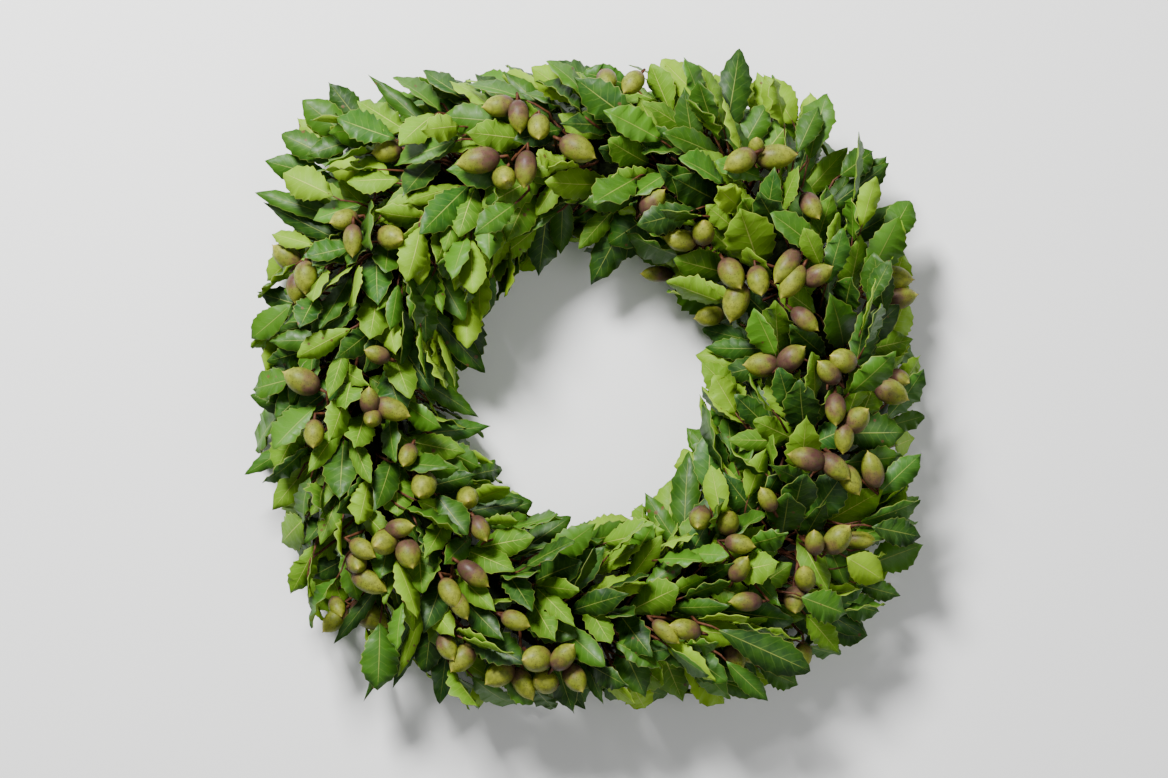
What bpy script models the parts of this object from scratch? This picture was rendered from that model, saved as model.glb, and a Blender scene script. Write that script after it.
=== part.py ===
"""A wreath of toothed evergreen leaves and nuts, bound on a flat wire ring.

It lies on its back: the cross bars of the ring rest at z = 0 and the leaves face up, along +Z.
+Y is the top of the wreath. Seen from above, every bunch lies over the foot of the next one,
anticlockwise round the ring.
"""

import math
import random

import bpy
from mathutils import Vector
from mathutils.bvhtree import BVHTree

MM = 0.001
UP = Vector((0, 0, 1))
GAP = 0.35 * MM

# Ring frame: two rails of round wire on flat cross bars
RING_RADIUS = 163 * MM
RAIL_RADII = (155 * MM, 171 * MM)
RAIL_WIRE_RADIUS = 1.5 * MM
RAIL_MIDDLE = 4.5 * MM
RAIL_STEPS = 28
RAIL_SIDES = 4
BAR_COUNT = 8
BAR_REACH = (152 * MM, 174 * MM)
BAR_WIDTH = 5 * MM
BAR_THICKNESS = 3.6 * MM

# Bunches: a gathered foot, then a head of packed stems and inner leaves
BUNCH_COUNT = 16
BUNCH_STEP = math.tau / BUNCH_COUNT
CORE_FLOOR = 6.35 * MM
CORE_SIDES = 10
CORE_MIDDLE = 42 * MM
CORE_RADIUS = 37 * MM
FOOT_RADIUS = 10.2 * MM
FOOT_LENGTH = 9.5 * MM
CORE_PROFILE = (
    (0.2 * MM, FOOT_RADIUS, CORE_FLOOR + FOOT_RADIUS),
    (FOOT_LENGTH, FOOT_RADIUS, CORE_FLOOR + FOOT_RADIUS),
    (15 * MM, 31 * MM, CORE_MIDDLE),
    (38 * MM, CORE_RADIUS, CORE_MIDDLE),
    (63.6 * MM, 33 * MM, CORE_MIDDLE),
)

# Binding wire: one turn round each foot and both rails, then straight on between the rails
WIRE_RADIUS = 0.6 * MM
WIRE_SIDES = 3
WIRE_HEIGHT = 5.0 * MM
WIRE_UNDER = 1.8 * MM
WIRE_TURN_RADIUS = 12.9 * MM
WIRE_TURN_ANGLES = (0, 60, 120, 180)
WIRE_TURN_START = 2.0 * MM
WIRE_TURN_END = 8.0 * MM

# Leaves
BLADE_THICKNESS = 0.8 * MM
BLADE_FACES = ((0, 1, 4), (1, 2, 4), (2, 3, 4), (0, 4, 7), (4, 6, 7), (4, 5, 6))
ROOT_DEPTH = 4.5 * MM
TIP_REACH = 68 * MM
SHOW_MIN_LENGTH = 42 * MM
TOOTH_ROWS = ((0.44, 1.0), (0.57, 0.80), (0.76, 1.16))
ROWS = (76, 104, 44, 136, 12, 168, -16, 196)
ROW_SPACING = 104 * MM
SHOOT_ZONE = (math.radians(6.6), math.radians(20.8))
LEAF_TRIES = 60
LEAF_FLOOR = 2.5 * MM
HOLE_RADIUS = 71 * MM
REACH_RADIUS = 280 * MM
SEED = 1

# Nuts
NUT_REACH = 62 * MM
NUT_SIDES = 5
NUT_PROFILE = ((-0.36, 0.70), (-0.04, 1.04), (0.28, 0.68))
STALK_RADIUS = 1.5 * MM
FOOT_RADIUS_OF_STALK = 2.0 * MM
STALK_ZONE = (math.radians(7.5), math.radians(20.5))

# Leaves that show best, bunch by bunch: foot x, y and tip x, y in mm, width in mm, and which
# side shows and how dark it is (L pale underside, M mid green, D dark upper side)
SHOW_LEAVES = (
    (201, 74, 190, 104, 24, "L"), (188, 26, 167, 63, 25, "M"), (198, 8, 231, 33, 22, "L"),
    (128, 23, 131, 57, 24, "L"), (118, 24, 83, 25, 15, "M"), (115, 27, 81, 39, 15, "D"),
    (138, 0, 93, 8, 17, "D"),
    (92, 74, 60, 89, 25, "L"), (156, 149, 158, 182, 17, "D"), (156, 136, 185, 169, 17, "L"),
    (190, 110, 185, 153, 18, "M"), (163, 90, 172, 133, 17, "L"), (120, 77, 105, 121, 35, "L"),
    (199, 105, 227, 129, 17, "D"), (193, 141, 213, 159, 13, "D"),
    (83, 178, 41, 198, 19, "L"), (100, 162, 52, 176, 21, "M"), (90, 127, 57, 142, 27, "D"),
    (98, 173, 107, 240, 24, "D"), (105, 176, 110, 223, 14, "L"), (110, 166, 127, 201, 20, "M"),
    (132, 172, 150, 195, 22, "L"), (127, 127, 131, 150, 17, "M"),
    (9, 185, -18, 179, 18, "D"), (18, 137, -30, 138, 22, "L"), (15, 116, -8, 97, 15, "L"),
    (32, 104, 0, 72, 24, "D"), (41, 155, 13, 167, 21, "L"),
    (-75, 192, -117, 203, 15, "M"), (-41, 174, -83, 174, 22, "L"), (-34, 206, -60, 223, 14, "M"),
    (-41, 135, -55, 99, 25, "L"), (-5, 124, -19, 93, 17, "M"), (-27, 108, -36, 77, 25, "D"),
    (-117, 205, -155, 223, 13, "M"), (-111, 186, -146, 190, 13, "M"),
    (-113, 168, -128, 131, 22, "D"), (-93, 140, -127, 128, 12, "L"),
    (-82, 139, -117, 104, 22, "M"), (-88, 130, -98, 93, 13, "L"), (-73, 138, -90, 103, 22, "L"),
    (-174, 162, -208, 191, 21, "L"), (-172, 130, -212, 148, 21, "L"),
    (-144, 118, -177, 143, 15, "L"), (-181, 129, -236, 138, 15, "M"),
    (-177, 125, -210, 108, 13, "M"), (-206, 118, -232, 129, 14, "D"),
    (-149, 92, -147, 56, 23, "D"), (-114, 76, -145, 51, 10, "L"), (-103, 75, -100, 49, 13, "L"),
    (-89, 77, -87, 45, 18, "M"),
    (-212, 64, -236, 64, 20, "D"), (-176, 72, -184, 40, 17, "M"), (-147, 55, -151, 31, 22, "L"),
    (-133, 26, -125, -10, 21, "L"), (-174, 16, -178, -9, 13, "L"), (-170, 8, -152, 1, 14, "L"),
    (-158, 32, -173, 17, 18, "D"), (-194, 33, -224, 32, 15, "M"), (-107, 9, -76, -21, 14, "M"),
    (-87, 36, -72, 9, 17, "D"),
    (-158, -23, -161, -42, 21, "L"), (-181, -36, -196, -62, 14, "L"),
    (-174, -40, -172, -79, 25, "M"), (-164, -42, -151, -69, 13, "L"),
    (-136, -56, -145, -88, 19, "M"), (-120, -39, -86, -49, 18, "L"),
    (-102, -31, -69, -30, 15, "M"), (-216, -31, -243, -65, 13, "M"),
    (-208, -57, -225, -88, 21, "L"), (-207, -21, -241, -9, 15, "M"),
    (-107, -68, -78, -63, 15, "D"), (-180, -86, -186, -112, 17, "L"),
    (-203, -93, -195, -127, 20, "L"), (-169, -121, -197, -138, 18, "M"),
    (-139, -120, -140, -153, 8, "L"), (-168, -165, -179, -184, 11, "M"),
    (-98, -102, -110, -119, 17, "L"), (-85, -100, -98, -121, 17, "M"),
    (-120, -145, -133, -208, 10, "L"), (-103, -136, -114, -172, 20, "D"),
    (-115, -172, -116, -204, 22, "D"), (-147, -179, -161, -224, 10, "M"),
    (-135, -179, -140, -216, 13, "D"), (-107, -199, -106, -228, 17, "D"),
    (-80, -86, -45, -84, 15, "D"), (-74, -109, -38, -105, 20, "L"),
    (-77, -116, -51, -129, 20, "L"), (-79, -141, -63, -155, 17, "L"),
    (-77, -160, -58, -176, 18, "M"),
    (-39, -127, -4, -121, 24, "D"), (-39, -109, -11, -94, 18, "M"), (-3, -125, 36, -112, 15, "L"),
    (-39, -133, -9, -165, 14, "L"), (-30, -135, -6, -143, 15, "L"), (-52, -131, -37, -156, 18, "D"),
    (-33, -162, -22, -176, 21, "L"), (-27, -209, -3, -231, 14, "D"), (-7, -179, 13, -193, 18, "M"),
    (5, -151, 28, -143, 18, "D"), (3, -156, 14, -179, 17, "L"), (28, -160, 62, -139, 24, "L"),
    (34, -125, 52, -106, 15, "L"), (23, -163, 45, -186, 21, "D"), (17, -184, 41, -218, 24, "M"),
    (52, -186, 67, -226, 27, "L"), (5, -207, 11, -224, 11, "M"),
    (51, -104, 71, -47, 21, "M"), (50, -103, 39, -77, 15, "M"), (81, -117, 102, -98, 21, "L"),
    (74, -137, 100, -122, 11, "D"), (115, -133, 135, -153, 15, "M"),
    (141, -177, 153, -161, 14, "L"), (155, -167, 174, -186, 15, "M"),
    (87, -166, 155, -198, 18, "D"), (70, -156, 98, -152, 13, "M"), (86, -183, 124, -221, 13, "M"),
    (104, -200, 145, -208, 14, "D"),
    (154, -68, 126, -54, 14, "M"), (109, -90, 93, -62, 21, "D"), (186, -104, 207, -73, 24, "L"),
    (135, -101, 139, -76, 27, "M"), (157, -121, 168, -148, 21, "L"),
    (174, -119, 183, -146, 20, "M"), (154, -152, 179, -156, 18, "M"),
    (186, -123, 208, -136, 15, "L"), (201, -125, 238, -114, 15, "M"),
    (201, -121, 233, -103, 13, "D"), (167, -167, 198, -178, 18, "D"),
    (161, -101, 165, -81, 17, "M"),
    (148, -24, 144, 2, 25, "M"), (151, -42, 150, -22, 24, "L"), (183, -35, 222, -34, 27, "M"),
    (138, -37, 115, -24, 18, "L"), (133, -40, 98, -37, 15, "L"), (135, -43, 78, -38, 14, "M"),
    (131, -46, 89, -52, 17, "M"), (117, -31, 102, -7, 17, "D"),
)

# Nut clusters: each nut's middle x, y in mm, the way it points and how far its tip is raised in
# degrees, its length and its width in mm
NUT_CLUSTERS = (
    ((-62, 194, 185, 15, 24, 16), (-48, 186, 275, 10, 24, 15), (-34, 178, 270, 40, 22, 16)),
    ((-76, 155, 190, 5, 31, 19), (-58, 143, 300, 75, 24, 17), (-43, 149, 265, 10, 27, 16)),
    ((-7, 163, 332, 10, 28, 19),),
    ((-141, 164, 190, 20, 22, 17),),
    ((-170, 115, 195, 30, 22, 15), (-163, 100, 270, 15, 24, 14)),
    ((-136, 102, 345, 45, 24, 17),),
    ((-214, 91, 140, 10, 26, 17), (-197, 75, 270, 10, 24, 17)),
    ((-151, -11, 90, 30, 22, 14), (-136, -17, 340, 10, 28, 16)),
    ((-199, 3, 155, 5, 28, 19), (-190, -34, 270, 30, 22, 15)),
    ((-125, -49, 250, 40, 20, 13), (-114, -70, 250, 50, 24, 18)),
    ((-84, -79, 300, 80, 24, 16), (-75, -100, 300, 30, 22, 14)),
    ((-141, -109, 200, 60, 24, 18), (-124, -117, 290, 35, 24, 18)),
    ((-161, -124, 300, 70, 22, 15), (-152, -137, 332, 10, 28, 16)),
    ((-155, -164, 330, 10, 31, 19), (-180, -167, 225, 15, 24, 15)),
    ((-79, -131, 322, 10, 27, 15), (-95, -144, 300, 20, 24, 15), (-89, -152, 300, 15, 24, 13)),
    ((-50, -163, 340, 15, 22, 14),),
    ((-98, -183, 300, 30, 22, 14), (-88, -191, 230, 15, 24, 17)),
    ((-62, -202, 215, 15, 24, 18), (-45, -209, 300, 10, 26, 15), (-30, -207, 160, 50, 22, 17)),
    ((-36, -190, 180, 40, 24, 19), (-17, -188, 50, 20, 24, 16), (-9, -204, 300, 30, 24, 16)),
    ((54, -171, 320, 10, 24, 12), (67, -169, 165, 15, 24, 15)),
    ((78, -93, 250, 55, 22, 16), (97, -95, 90, 50, 22, 16)),
    ((105, -110, 350, 15, 22, 14), (109, -150, 180, 15, 24, 14)),
    ((103, -190, 300, 20, 22, 14), (115, -189, 180, 20, 22, 14)),
    ((151, -134, 100, 40, 22, 15), (144, -150, 270, 40, 22, 16)),
    ((157, -109, 95, 30, 20, 14), (174, -107, 50, 20, 26, 18)),
    ((151, -51, 167, 5, 27, 17), (171, -57, 320, 15, 26, 16), (182, -66, 300, 10, 24, 15),
     (198, -59, 105, 10, 27, 16)),
    ((171, -17, 270, 20, 24, 15), (186, -24, 45, 30, 24, 17), (177, -37, 265, 10, 22, 14)),
    ((212, -5, 335, 10, 26, 18),),
    ((121, 14, 180, 5, 26, 18), (141, 19, 40, 15, 24, 17)),
    ((176, 17, 160, 30, 22, 17), (166, 9, 135, 20, 22, 15)),
    ((218, 76, 355, 5, 27, 18), (221, 62, 10, 5, 27, 17)),
    ((137, 82, 235, 15, 30, 15), (141, 71, 235, 10, 28, 16), (118, 72, 280, 30, 24, 16),
     (159, 76, 30, 20, 24, 15), (150, 45, 320, 15, 24, 14)),
    ((100, 77, 300, 25, 26, 18), (103, 58, 255, 5, 30, 19), (86, 49, 190, 10, 22, 15)),
    ((49, 79, 180, 10, 24, 12), (64, 101, 170, 15, 24, 16), (80, 106, 90, 50, 22, 16)),
    ((155, 124, 300, 30, 24, 15),),
    ((105, 155, 208, 5, 25, 17), (131, 159, 5, 5, 30, 18)),
    ((13, 213, 280, 60, 22, 15), (31, 211, 230, 30, 22, 15)),
    ((45, 127, 45, 20, 24, 15),),
)

LEAF_GREEN = (0.087, 0.180, 0.026, 1.0)
NUT_BROWN = (0.246, 0.162, 0.060, 1.0)
WIRE_GREY = (0.060, 0.065, 0.060, 1.0)
BINDING_GREEN = (0.020, 0.060, 0.024, 1.0)


def ring_axes(angle):
    """The ways outward and along the ring at one angle."""
    outward = Vector((math.cos(angle), math.sin(angle), 0))
    along = Vector((-math.sin(angle), math.cos(angle), 0))
    return outward, along


def tube_normal(angle, turn):
    """The way out of the tube of foliage; turn 0 points outward and 90 degrees up."""
    outward, _ = ring_axes(angle)
    return outward * math.cos(turn) + UP * math.sin(turn)


def tube_middle(angle):
    outward, _ = ring_axes(angle)
    return outward * RING_RADIUS + UP * CORE_MIDDLE


def reach_height(x, y, reach):
    """Height of the tube's surface at a place in plan, for one reach from the tube's middle."""
    offset = math.hypot(x, y) - RING_RADIUS
    return CORE_MIDDLE + math.sqrt(max(reach * reach - offset * offset, 0))


def loft(rings, start=None, end=None):
    """Vertices and triangles of a closed solid through rings, with flat or pointed ends."""
    sides = len(rings[0])
    verts = [point for ring in rings for point in ring]
    faces = []
    for row in range(len(rings) - 1):
        for side in range(sides):
            a = row * sides + side
            b = row * sides + (side + 1) % sides
            faces += [(a, b, b + sides), (a, b + sides, a + sides)]
    last = (len(rings) - 1) * sides
    if start is None:
        faces += [(0, side + 1, side) for side in range(1, sides - 1)]
    else:
        verts.append(start)
        faces += [(len(verts) - 1, (side + 1) % sides, side) for side in range(sides)]
    if end is None:
        faces += [(last, last + side, last + side + 1) for side in range(1, sides - 1)]
    else:
        verts.append(end)
        faces += [(last + side, last + (side + 1) % sides, len(verts) - 1) for side in range(sides)]
    return verts, faces


def core_mesh(index):
    """The packed inside of one bunch: a foot on the rails, then a head with a flat back."""
    rings = []
    for distance, radius, height in CORE_PROFILE:
        angle = index * BUNCH_STEP + distance / RING_RADIUS
        outward, _ = ring_axes(angle)
        ring = []
        for side in range(CORE_SIDES):
            turn = -math.tau * (side + 0.5) / CORE_SIDES
            point = outward * (RING_RADIUS + radius * math.cos(turn))
            point += UP * max(height + radius * math.sin(turn), CORE_FLOOR)
            ring.append(point)
        rings.append(ring)
    return loft(rings)


class Leaf:
    """One blade: where it starts, the ways it points and faces, and its size."""

    def __init__(self, bunch, root, heading, face, length, width):
        self.bunch = bunch
        self.root = root
        self.heading = heading.normalized()
        self.face = (face - self.heading * face.dot(self.heading)).normalized()
        self.side = self.heading.cross(self.face)
        self.length = length
        self.width = width
        self.tone = "M"
        self.fold = 0.2
        self.arch = 0.04
        self.blunt = 0.5
        self.waves = (0.0,) * 6

    def share(self, along):
        """Half width at a share of the length, as a share of the greatest half width."""
        swell = math.sin(math.pi * along ** (0.95 + 0.45 * self.blunt))
        return max(swell, 0.0) ** (0.9 - 0.3 * self.blunt)

    def point(self, along, across, lift=0.0):
        """A point of the blade; across is in metres from the crease."""
        rise = self.fold * abs(across) + self.arch * self.length * 4 * along * (1 - along) + lift
        return self.root + self.heading * (self.length * along) + self.side * across + self.face * rise


def blade_mesh(leaf, grow=0.0):
    """A closed toothed blade, creased from root to tip and alike on both faces."""
    top = [leaf.point(0, 0, grow)]
    for hand in (1, -1):
        row = []
        for number, (along, share) in enumerate(TOOTH_ROWS):
            across = leaf.width / 2 * leaf.share(along) * share + grow
            wave = leaf.waves[number + (0 if hand > 0 else 3)]
            row.append(leaf.point(along, hand * across, wave + grow))
        if hand > 0:
            top += row + [leaf.point(1 + grow / leaf.length, 0, grow)]
        else:
            top += row[::-1]
    drop = leaf.face * (BLADE_THICKNESS + 2 * grow)
    verts = top + [point - drop for point in top]
    lower = len(top)
    faces = []
    for a, b, c in BLADE_FACES:
        faces += [(a, b, c), (a + lower, c + lower, b + lower)]
    for corner in range(lower):
        following = (corner + 1) % lower
        faces.append((corner, corner + lower, following + lower))
        faces.append((corner, following + lower, following))
    return verts, faces


def nut_mesh(nut, start, start_axis=None):
    """A closed pointed nut from its row of NUT_CLUSTERS, on the stalk that it grows from.

    The stalk starts as a flat end square to start_axis, or as a point inside a common foot.
    """
    length, width = nut[4] * MM, nut[5] * MM
    middle = nut_middle(nut)
    axis = nut_axis(nut)
    base = middle - axis * length * 0.5
    bend = ((base - start).normalized() + axis).normalized()
    rings = [aimed_ring(base, bend, STALK_RADIUS, axis)]
    if start_axis is not None:
        rings.insert(0, aimed_ring(start, start_axis, FOOT_RADIUS_OF_STALK, axis))
    for along, share in NUT_PROFILE:
        rings.append(aimed_ring(middle + axis * along * length, axis, share * width / 2, axis))
    return loft(rings, None if start_axis is not None else start, middle + axis * length / 2)


def nut_middle(nut):
    x, y = nut[0] * MM, nut[1] * MM
    return Vector((x, y, reach_height(x, y, NUT_REACH)))


def nut_axis(nut):
    heading, tilt = math.radians(nut[2]), math.radians(nut[3])
    flat = Vector((math.cos(heading), math.sin(heading), 0))
    return flat * math.cos(tilt) + UP * math.sin(tilt)


def aimed_ring(middle, axis, radius, guide):
    """A ring square to an axis whose corners keep their places from ring to ring."""
    spare = UP if abs(guide.z) < 0.7 else Vector((1, 0, 0))
    first = guide.cross(spare)
    first = (first - axis * first.dot(axis)).normalized()
    second = axis.cross(first)
    turns = [math.tau * side / NUT_SIDES for side in range(NUT_SIDES)]
    return [middle + (first * math.cos(t) + second * math.sin(t)) * radius for t in turns]


def mesh_tree(mesh):
    verts, faces = mesh
    return BVHTree.FromPolygons(verts, faces)


def bunch_at(angle, zone):
    """The bunch whose head covers an angle, and the angle drawn in to a zone of that head."""
    bunch = int((angle % math.tau) / BUNCH_STEP)
    start = bunch * BUNCH_STEP
    inside = min(max(angle % math.tau - start, zone[0]), zone[1])
    return bunch, start + inside


def core_surface(cores, angle, turn, zone):
    """Bunch, point and face normal where a ray out of the tube's middle leaves the core."""
    bunch, angle = bunch_at(angle, zone)
    point, normal, _, _ = cores[bunch].ray_cast(tube_middle(angle), tube_normal(angle, turn))
    return bunch, point, normal


def cluster_meshes(nuts, cores):
    """The nuts of one cluster with their stalks, which start from a common foot."""
    middles = [nut_middle(nut) for nut in nuts]
    bases = [m - nut_axis(nut) * nut[4] * MM * 0.5 for m, nut in zip(middles, nuts)]
    centre = sum(bases, Vector()) / len(bases)
    angle = math.atan2(centre.y, centre.x)
    offset = math.hypot(centre.x, centre.y) - RING_RADIUS
    turn = math.atan2(centre.z - CORE_MIDDLE, offset)
    _, point, normal = core_surface(cores, angle, turn, STALK_ZONE)
    foot = point + normal * GAP
    if len(nuts) == 1:
        return [nut_mesh(nuts[0], foot, normal)]
    joint = foot + (centre - foot) * 0.6
    rise = (joint - foot).normalized()
    top = joint + rise * FOOT_RADIUS_OF_STALK
    rings = [aimed_ring(foot, normal, FOOT_RADIUS_OF_STALK, rise)]
    rings.append(aimed_ring(top, rise, FOOT_RADIUS_OF_STALK, rise))
    solids = [loft(rings)]
    for nut in nuts:
        solids.append(nut_mesh(nut, joint - rise * MM))
    return solids


class Grower:
    """Places leaves one by one, each clear of the cores, nuts and leaves that it may not cross."""

    def __init__(self):
        self.core_solids = [core_mesh(index) for index in range(BUNCH_COUNT)]
        self.cores = [mesh_tree(solid) for solid in self.core_solids]
        self.clusters = [cluster_meshes(nuts, self.cores) for nuts in NUT_CLUSTERS]
        self.nut_trees = []
        for solids in self.clusters:
            for verts, faces in solids:
                middle = sum(verts, Vector()) / len(verts)
                radius = max((point - middle).length for point in verts)
                self.nut_trees.append((middle, radius, mesh_tree((verts, faces))))
        self.leaves = []
        self.leaf_trees = []

    def clear(self, leaf):
        """True where the blade crosses nothing, with the gap that neighbours keep."""
        verts, faces = blade_mesh(leaf, GAP)
        for point in verts[1:]:
            if point.z < LEAF_FLOOR or not HOLE_RADIUS < math.hypot(point.x, point.y) < REACH_RADIUS:
                return False
        tree = mesh_tree((verts, faces))
        middle = leaf.root + leaf.heading * leaf.length / 2
        for other, radius, other_tree in self.nut_trees + self.leaf_trees:
            near = (other - middle).length < radius + leaf.length * 0.6
            if near and tree.overlap(other_tree):
                return False
        for step in (-2, -1, 1, 2):
            if tree.overlap(self.cores[(leaf.bunch + step) % BUNCH_COUNT]):
                return False
        return True

    def keep(self, leaf):
        middle = leaf.root + leaf.heading * leaf.length / 2
        self.leaves.append(leaf)
        self.leaf_trees.append((middle, leaf.length * 0.6, mesh_tree(blade_mesh(leaf))))

    def place_show_leaf(self, row, number):
        """A leaf read from its foot and tip in plan; small lifts and rolls are tried in turn."""
        foot_x, foot_y, tip_x, tip_y, width, tone = row
        draw = random.Random(SEED * 1000 + number)
        tip = Vector((tip_x, tip_y, 0)) * MM
        run = Vector((foot_x, foot_y, 0)) * MM - tip
        run *= max(run.length, SHOW_MIN_LENGTH) / run.length
        foot = tip + run
        reach = math.hypot(foot.x, foot.y)
        offset = min(max(reach - RING_RADIUS, -0.96 * CORE_RADIUS), 0.96 * CORE_RADIUS)
        turn = math.acos(offset / CORE_RADIUS)
        angle = math.atan2(foot.y, foot.x)
        bunch, point, normal = core_surface(self.cores, angle, turn, SHOOT_ZONE)
        root = point - normal * ROOT_DEPTH
        for attempt in range(LEAF_TRIES):
            spread = attempt / LEAF_TRIES
            tip.z = reach_height(tip.x, tip.y, TIP_REACH) + draw.uniform(-22, 14) * spread * MM
            line = tip - root
            face = UP * 0.7 + tube_normal(angle, turn) * 0.3
            face += line.cross(UP).normalized() * draw.uniform(-0.7, 0.7) * spread
            leaf = Leaf(bunch, root, line, face, line.length, width * MM)
            leaf.tone = tone
            shape_leaf(leaf, draw)
            if self.clear(leaf):
                self.keep(leaf)
                return True
        return False

    def place_row_leaf(self, angle, turn, number):
        """A leaf of a row; random ways and sizes are drawn until one is clear."""
        draw = random.Random(SEED * 5000 + number)
        angle += draw.uniform(-0.02, 0.02)
        turn += math.radians(draw.uniform(-7, 7))
        bunch, point, normal = core_surface(self.cores, angle, turn, SHOOT_ZONE)
        outward, along = ring_axes(angle)
        out_of_tube = tube_normal(angle, turn)
        across = UP * math.cos(turn) - outward * math.sin(turn)
        for attempt in range(LEAF_TRIES):
            sweep = math.radians(draw.uniform(-60, 60))
            rise = math.radians(draw.uniform(14, 50))
            heading = (along * math.cos(sweep) + across * math.sin(sweep)) * math.cos(rise)
            heading += out_of_tube * math.sin(rise)
            face = out_of_tube * 0.45 + UP * 0.55
            face += heading.cross(face).normalized() * draw.uniform(-0.45, 0.45)
            length = draw.uniform(40, 58) * MM
            leaf = Leaf(bunch, point - normal * ROOT_DEPTH, heading, face, length, 0)
            leaf.width = length * draw.uniform(0.38, 0.56)
            leaf.tone = draw.choice("LMMDD")
            shape_leaf(leaf, draw)
            if self.clear(leaf):
                self.keep(leaf)
                return True
        return False

    def grow(self):
        for number, row in enumerate(SHOW_LEAVES):
            self.place_show_leaf(row, number)
        number = 0
        for row, degrees in enumerate(ROWS):
            turn = math.radians(degrees)
            around = math.tau * (RING_RADIUS + CORE_RADIUS * math.cos(turn))
            count = round(around / ROW_SPACING)
            for place in range(count):
                number += 1
                angle = math.tau * (place + 0.5 * (row % 2)) / count
                self.place_row_leaf(angle, turn, number)
        return self.leaves


def shape_leaf(leaf, draw):
    """Fold, arch, bluntness and edge waves; a pale leaf lies with its keel up."""
    leaf.fold = draw.uniform(0.08, 0.42)
    if leaf.tone == "L":
        leaf.fold = -0.6 * leaf.fold
    leaf.arch = draw.uniform(-0.02, 0.05)
    leaf.blunt = draw.uniform(0.0, 1.0)
    leaf.waves = tuple(draw.uniform(-1.1, 1.1) * MM for _ in range(6))


def new_object(name, mesh, collection=None):
    verts, faces = mesh
    data = bpy.data.meshes.new(name)
    data.from_pydata([tuple(point) for point in verts], [], faces)
    data.validate()
    obj = bpy.data.objects.new(name, data)
    (collection or bpy.context.scene.collection).objects.link(obj)
    return obj


def fuse(name, solids, solver="EXACT"):
    """One node from a first solid and its repeats, joined by one Boolean union."""
    obj = new_object(name, solids[0])
    repeats = bpy.data.collections.new(name + "_repeats")
    bpy.context.scene.collection.children.link(repeats)
    for number, solid in enumerate(solids[1:]):
        new_object("%s_%02d" % (name, number), solid, repeats)
    if len(solids) > 1:
        union = obj.modifiers.new("Join", "BOOLEAN")
        union.operation = "UNION"
        union.operand_type = "COLLECTION"
        union.solver = solver
        union.collection = repeats
        bpy.context.view_layer.objects.active = obj
        bpy.ops.object.modifier_apply(modifier=union.name)
    for repeat in list(repeats.objects):
        bpy.data.objects.remove(repeat, do_unlink=True)
    bpy.data.collections.remove(repeats)
    return obj


def paint(obj, name, colour, roughness, metallic=0.0):
    """Gives one node its own material."""
    material = bpy.data.materials.new(name)
    material.use_nodes = True
    shader = material.node_tree.nodes["Principled BSDF"]
    shader.inputs["Base Color"].default_value = colour
    shader.inputs["Roughness"].default_value = roughness
    shader.inputs["Metallic"].default_value = metallic
    obj.data.materials.clear()
    obj.data.materials.append(material)


def rail_mesh(radius):
    """A closed ring of round wire."""
    verts = []
    faces = []
    sides = RAIL_SIDES
    for step in range(RAIL_STEPS):
        outward, _ = ring_axes(math.tau * step / RAIL_STEPS)
        for side in range(sides):
            turn = math.tau * side / sides
            reach = radius + RAIL_WIRE_RADIUS * math.cos(turn)
            verts.append(outward * reach + UP * (RAIL_MIDDLE + RAIL_WIRE_RADIUS * math.sin(turn)))
    for step in range(RAIL_STEPS):
        for side in range(sides):
            a = step * sides + side
            b = step * sides + (side + 1) % sides
            c = (step + 1) % RAIL_STEPS * sides + side
            d = (step + 1) % RAIL_STEPS * sides + (side + 1) % sides
            faces += [(a, c, d), (a, d, b)]
    return verts, faces


def bar_mesh(angle):
    """A flat cross bar under both rails; its underside is what the wreath rests on."""
    outward, along = ring_axes(angle)
    rings = []
    for reach in BAR_REACH:
        ring = []
        for side, height in ((-1, 0), (1, 0), (1, 1), (-1, 1)):
            point = outward * reach + along * side * BAR_WIDTH / 2 + UP * height * BAR_THICKNESS
            ring.append(point)
        rings.append(ring)
    return loft(rings)


def make_ring_frame():
    solids = [rail_mesh(RAIL_RADII[0]), rail_mesh(RAIL_RADII[1])]
    for bar in range(BAR_COUNT):
        solids.append(bar_mesh((2 * bar + 0.6) * BUNCH_STEP))
    obj = fuse("wire_frame", solids)
    paint(obj, "galvanised wire", WIRE_GREY, 0.45, 0.8)
    return obj


def wire_route():
    """Corner points of the binding wire, from bunch to bunch."""
    points = []
    for bunch in range(BUNCH_COUNT):
        middle = CORE_FLOOR + FOOT_RADIUS
        turns = [math.radians(turn) for turn in WIRE_TURN_ANGLES]
        corners = [(0, WIRE_HEIGHT), (5.2 * MM, WIRE_UNDER), (11.7 * MM, WIRE_UNDER)]
        for turn in turns:
            corners.append((WIRE_TURN_RADIUS * math.cos(turn),
                            middle + WIRE_TURN_RADIUS * math.sin(turn)))
        corners += [(-11.7 * MM, WIRE_UNDER), (-5.2 * MM, WIRE_UNDER), (0, WIRE_HEIGHT)]
        for number, (offset, height) in enumerate(corners):
            share = number / (len(corners) - 1)
            distance = WIRE_TURN_START + (WIRE_TURN_END - WIRE_TURN_START) * share
            outward, _ = ring_axes(bunch * BUNCH_STEP + distance / RING_RADIUS)
            points.append(outward * (RING_RADIUS + offset) + UP * height)
    return points


def tube_along(points, radius, sides):
    """A closed thin tube through points, its section carried along without twist."""
    rings = []
    side = None
    for number, point in enumerate(points):
        before = points[max(number - 1, 0)]
        after = points[min(number + 1, len(points) - 1)]
        arrive = (point - before).normalized() if number else (after - point).normalized()
        leave = (after - point).normalized() if number < len(points) - 1 else arrive
        axis = (arrive + leave).normalized()
        side = axis.orthogonal() if side is None else side - axis * side.dot(axis)
        side.normalize()
        other = axis.cross(side)
        turns = [math.tau * s / sides for s in range(sides)]
        rings.append([point + (side * math.cos(t) + other * math.sin(t)) * radius for t in turns])
    return loft(rings)


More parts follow.
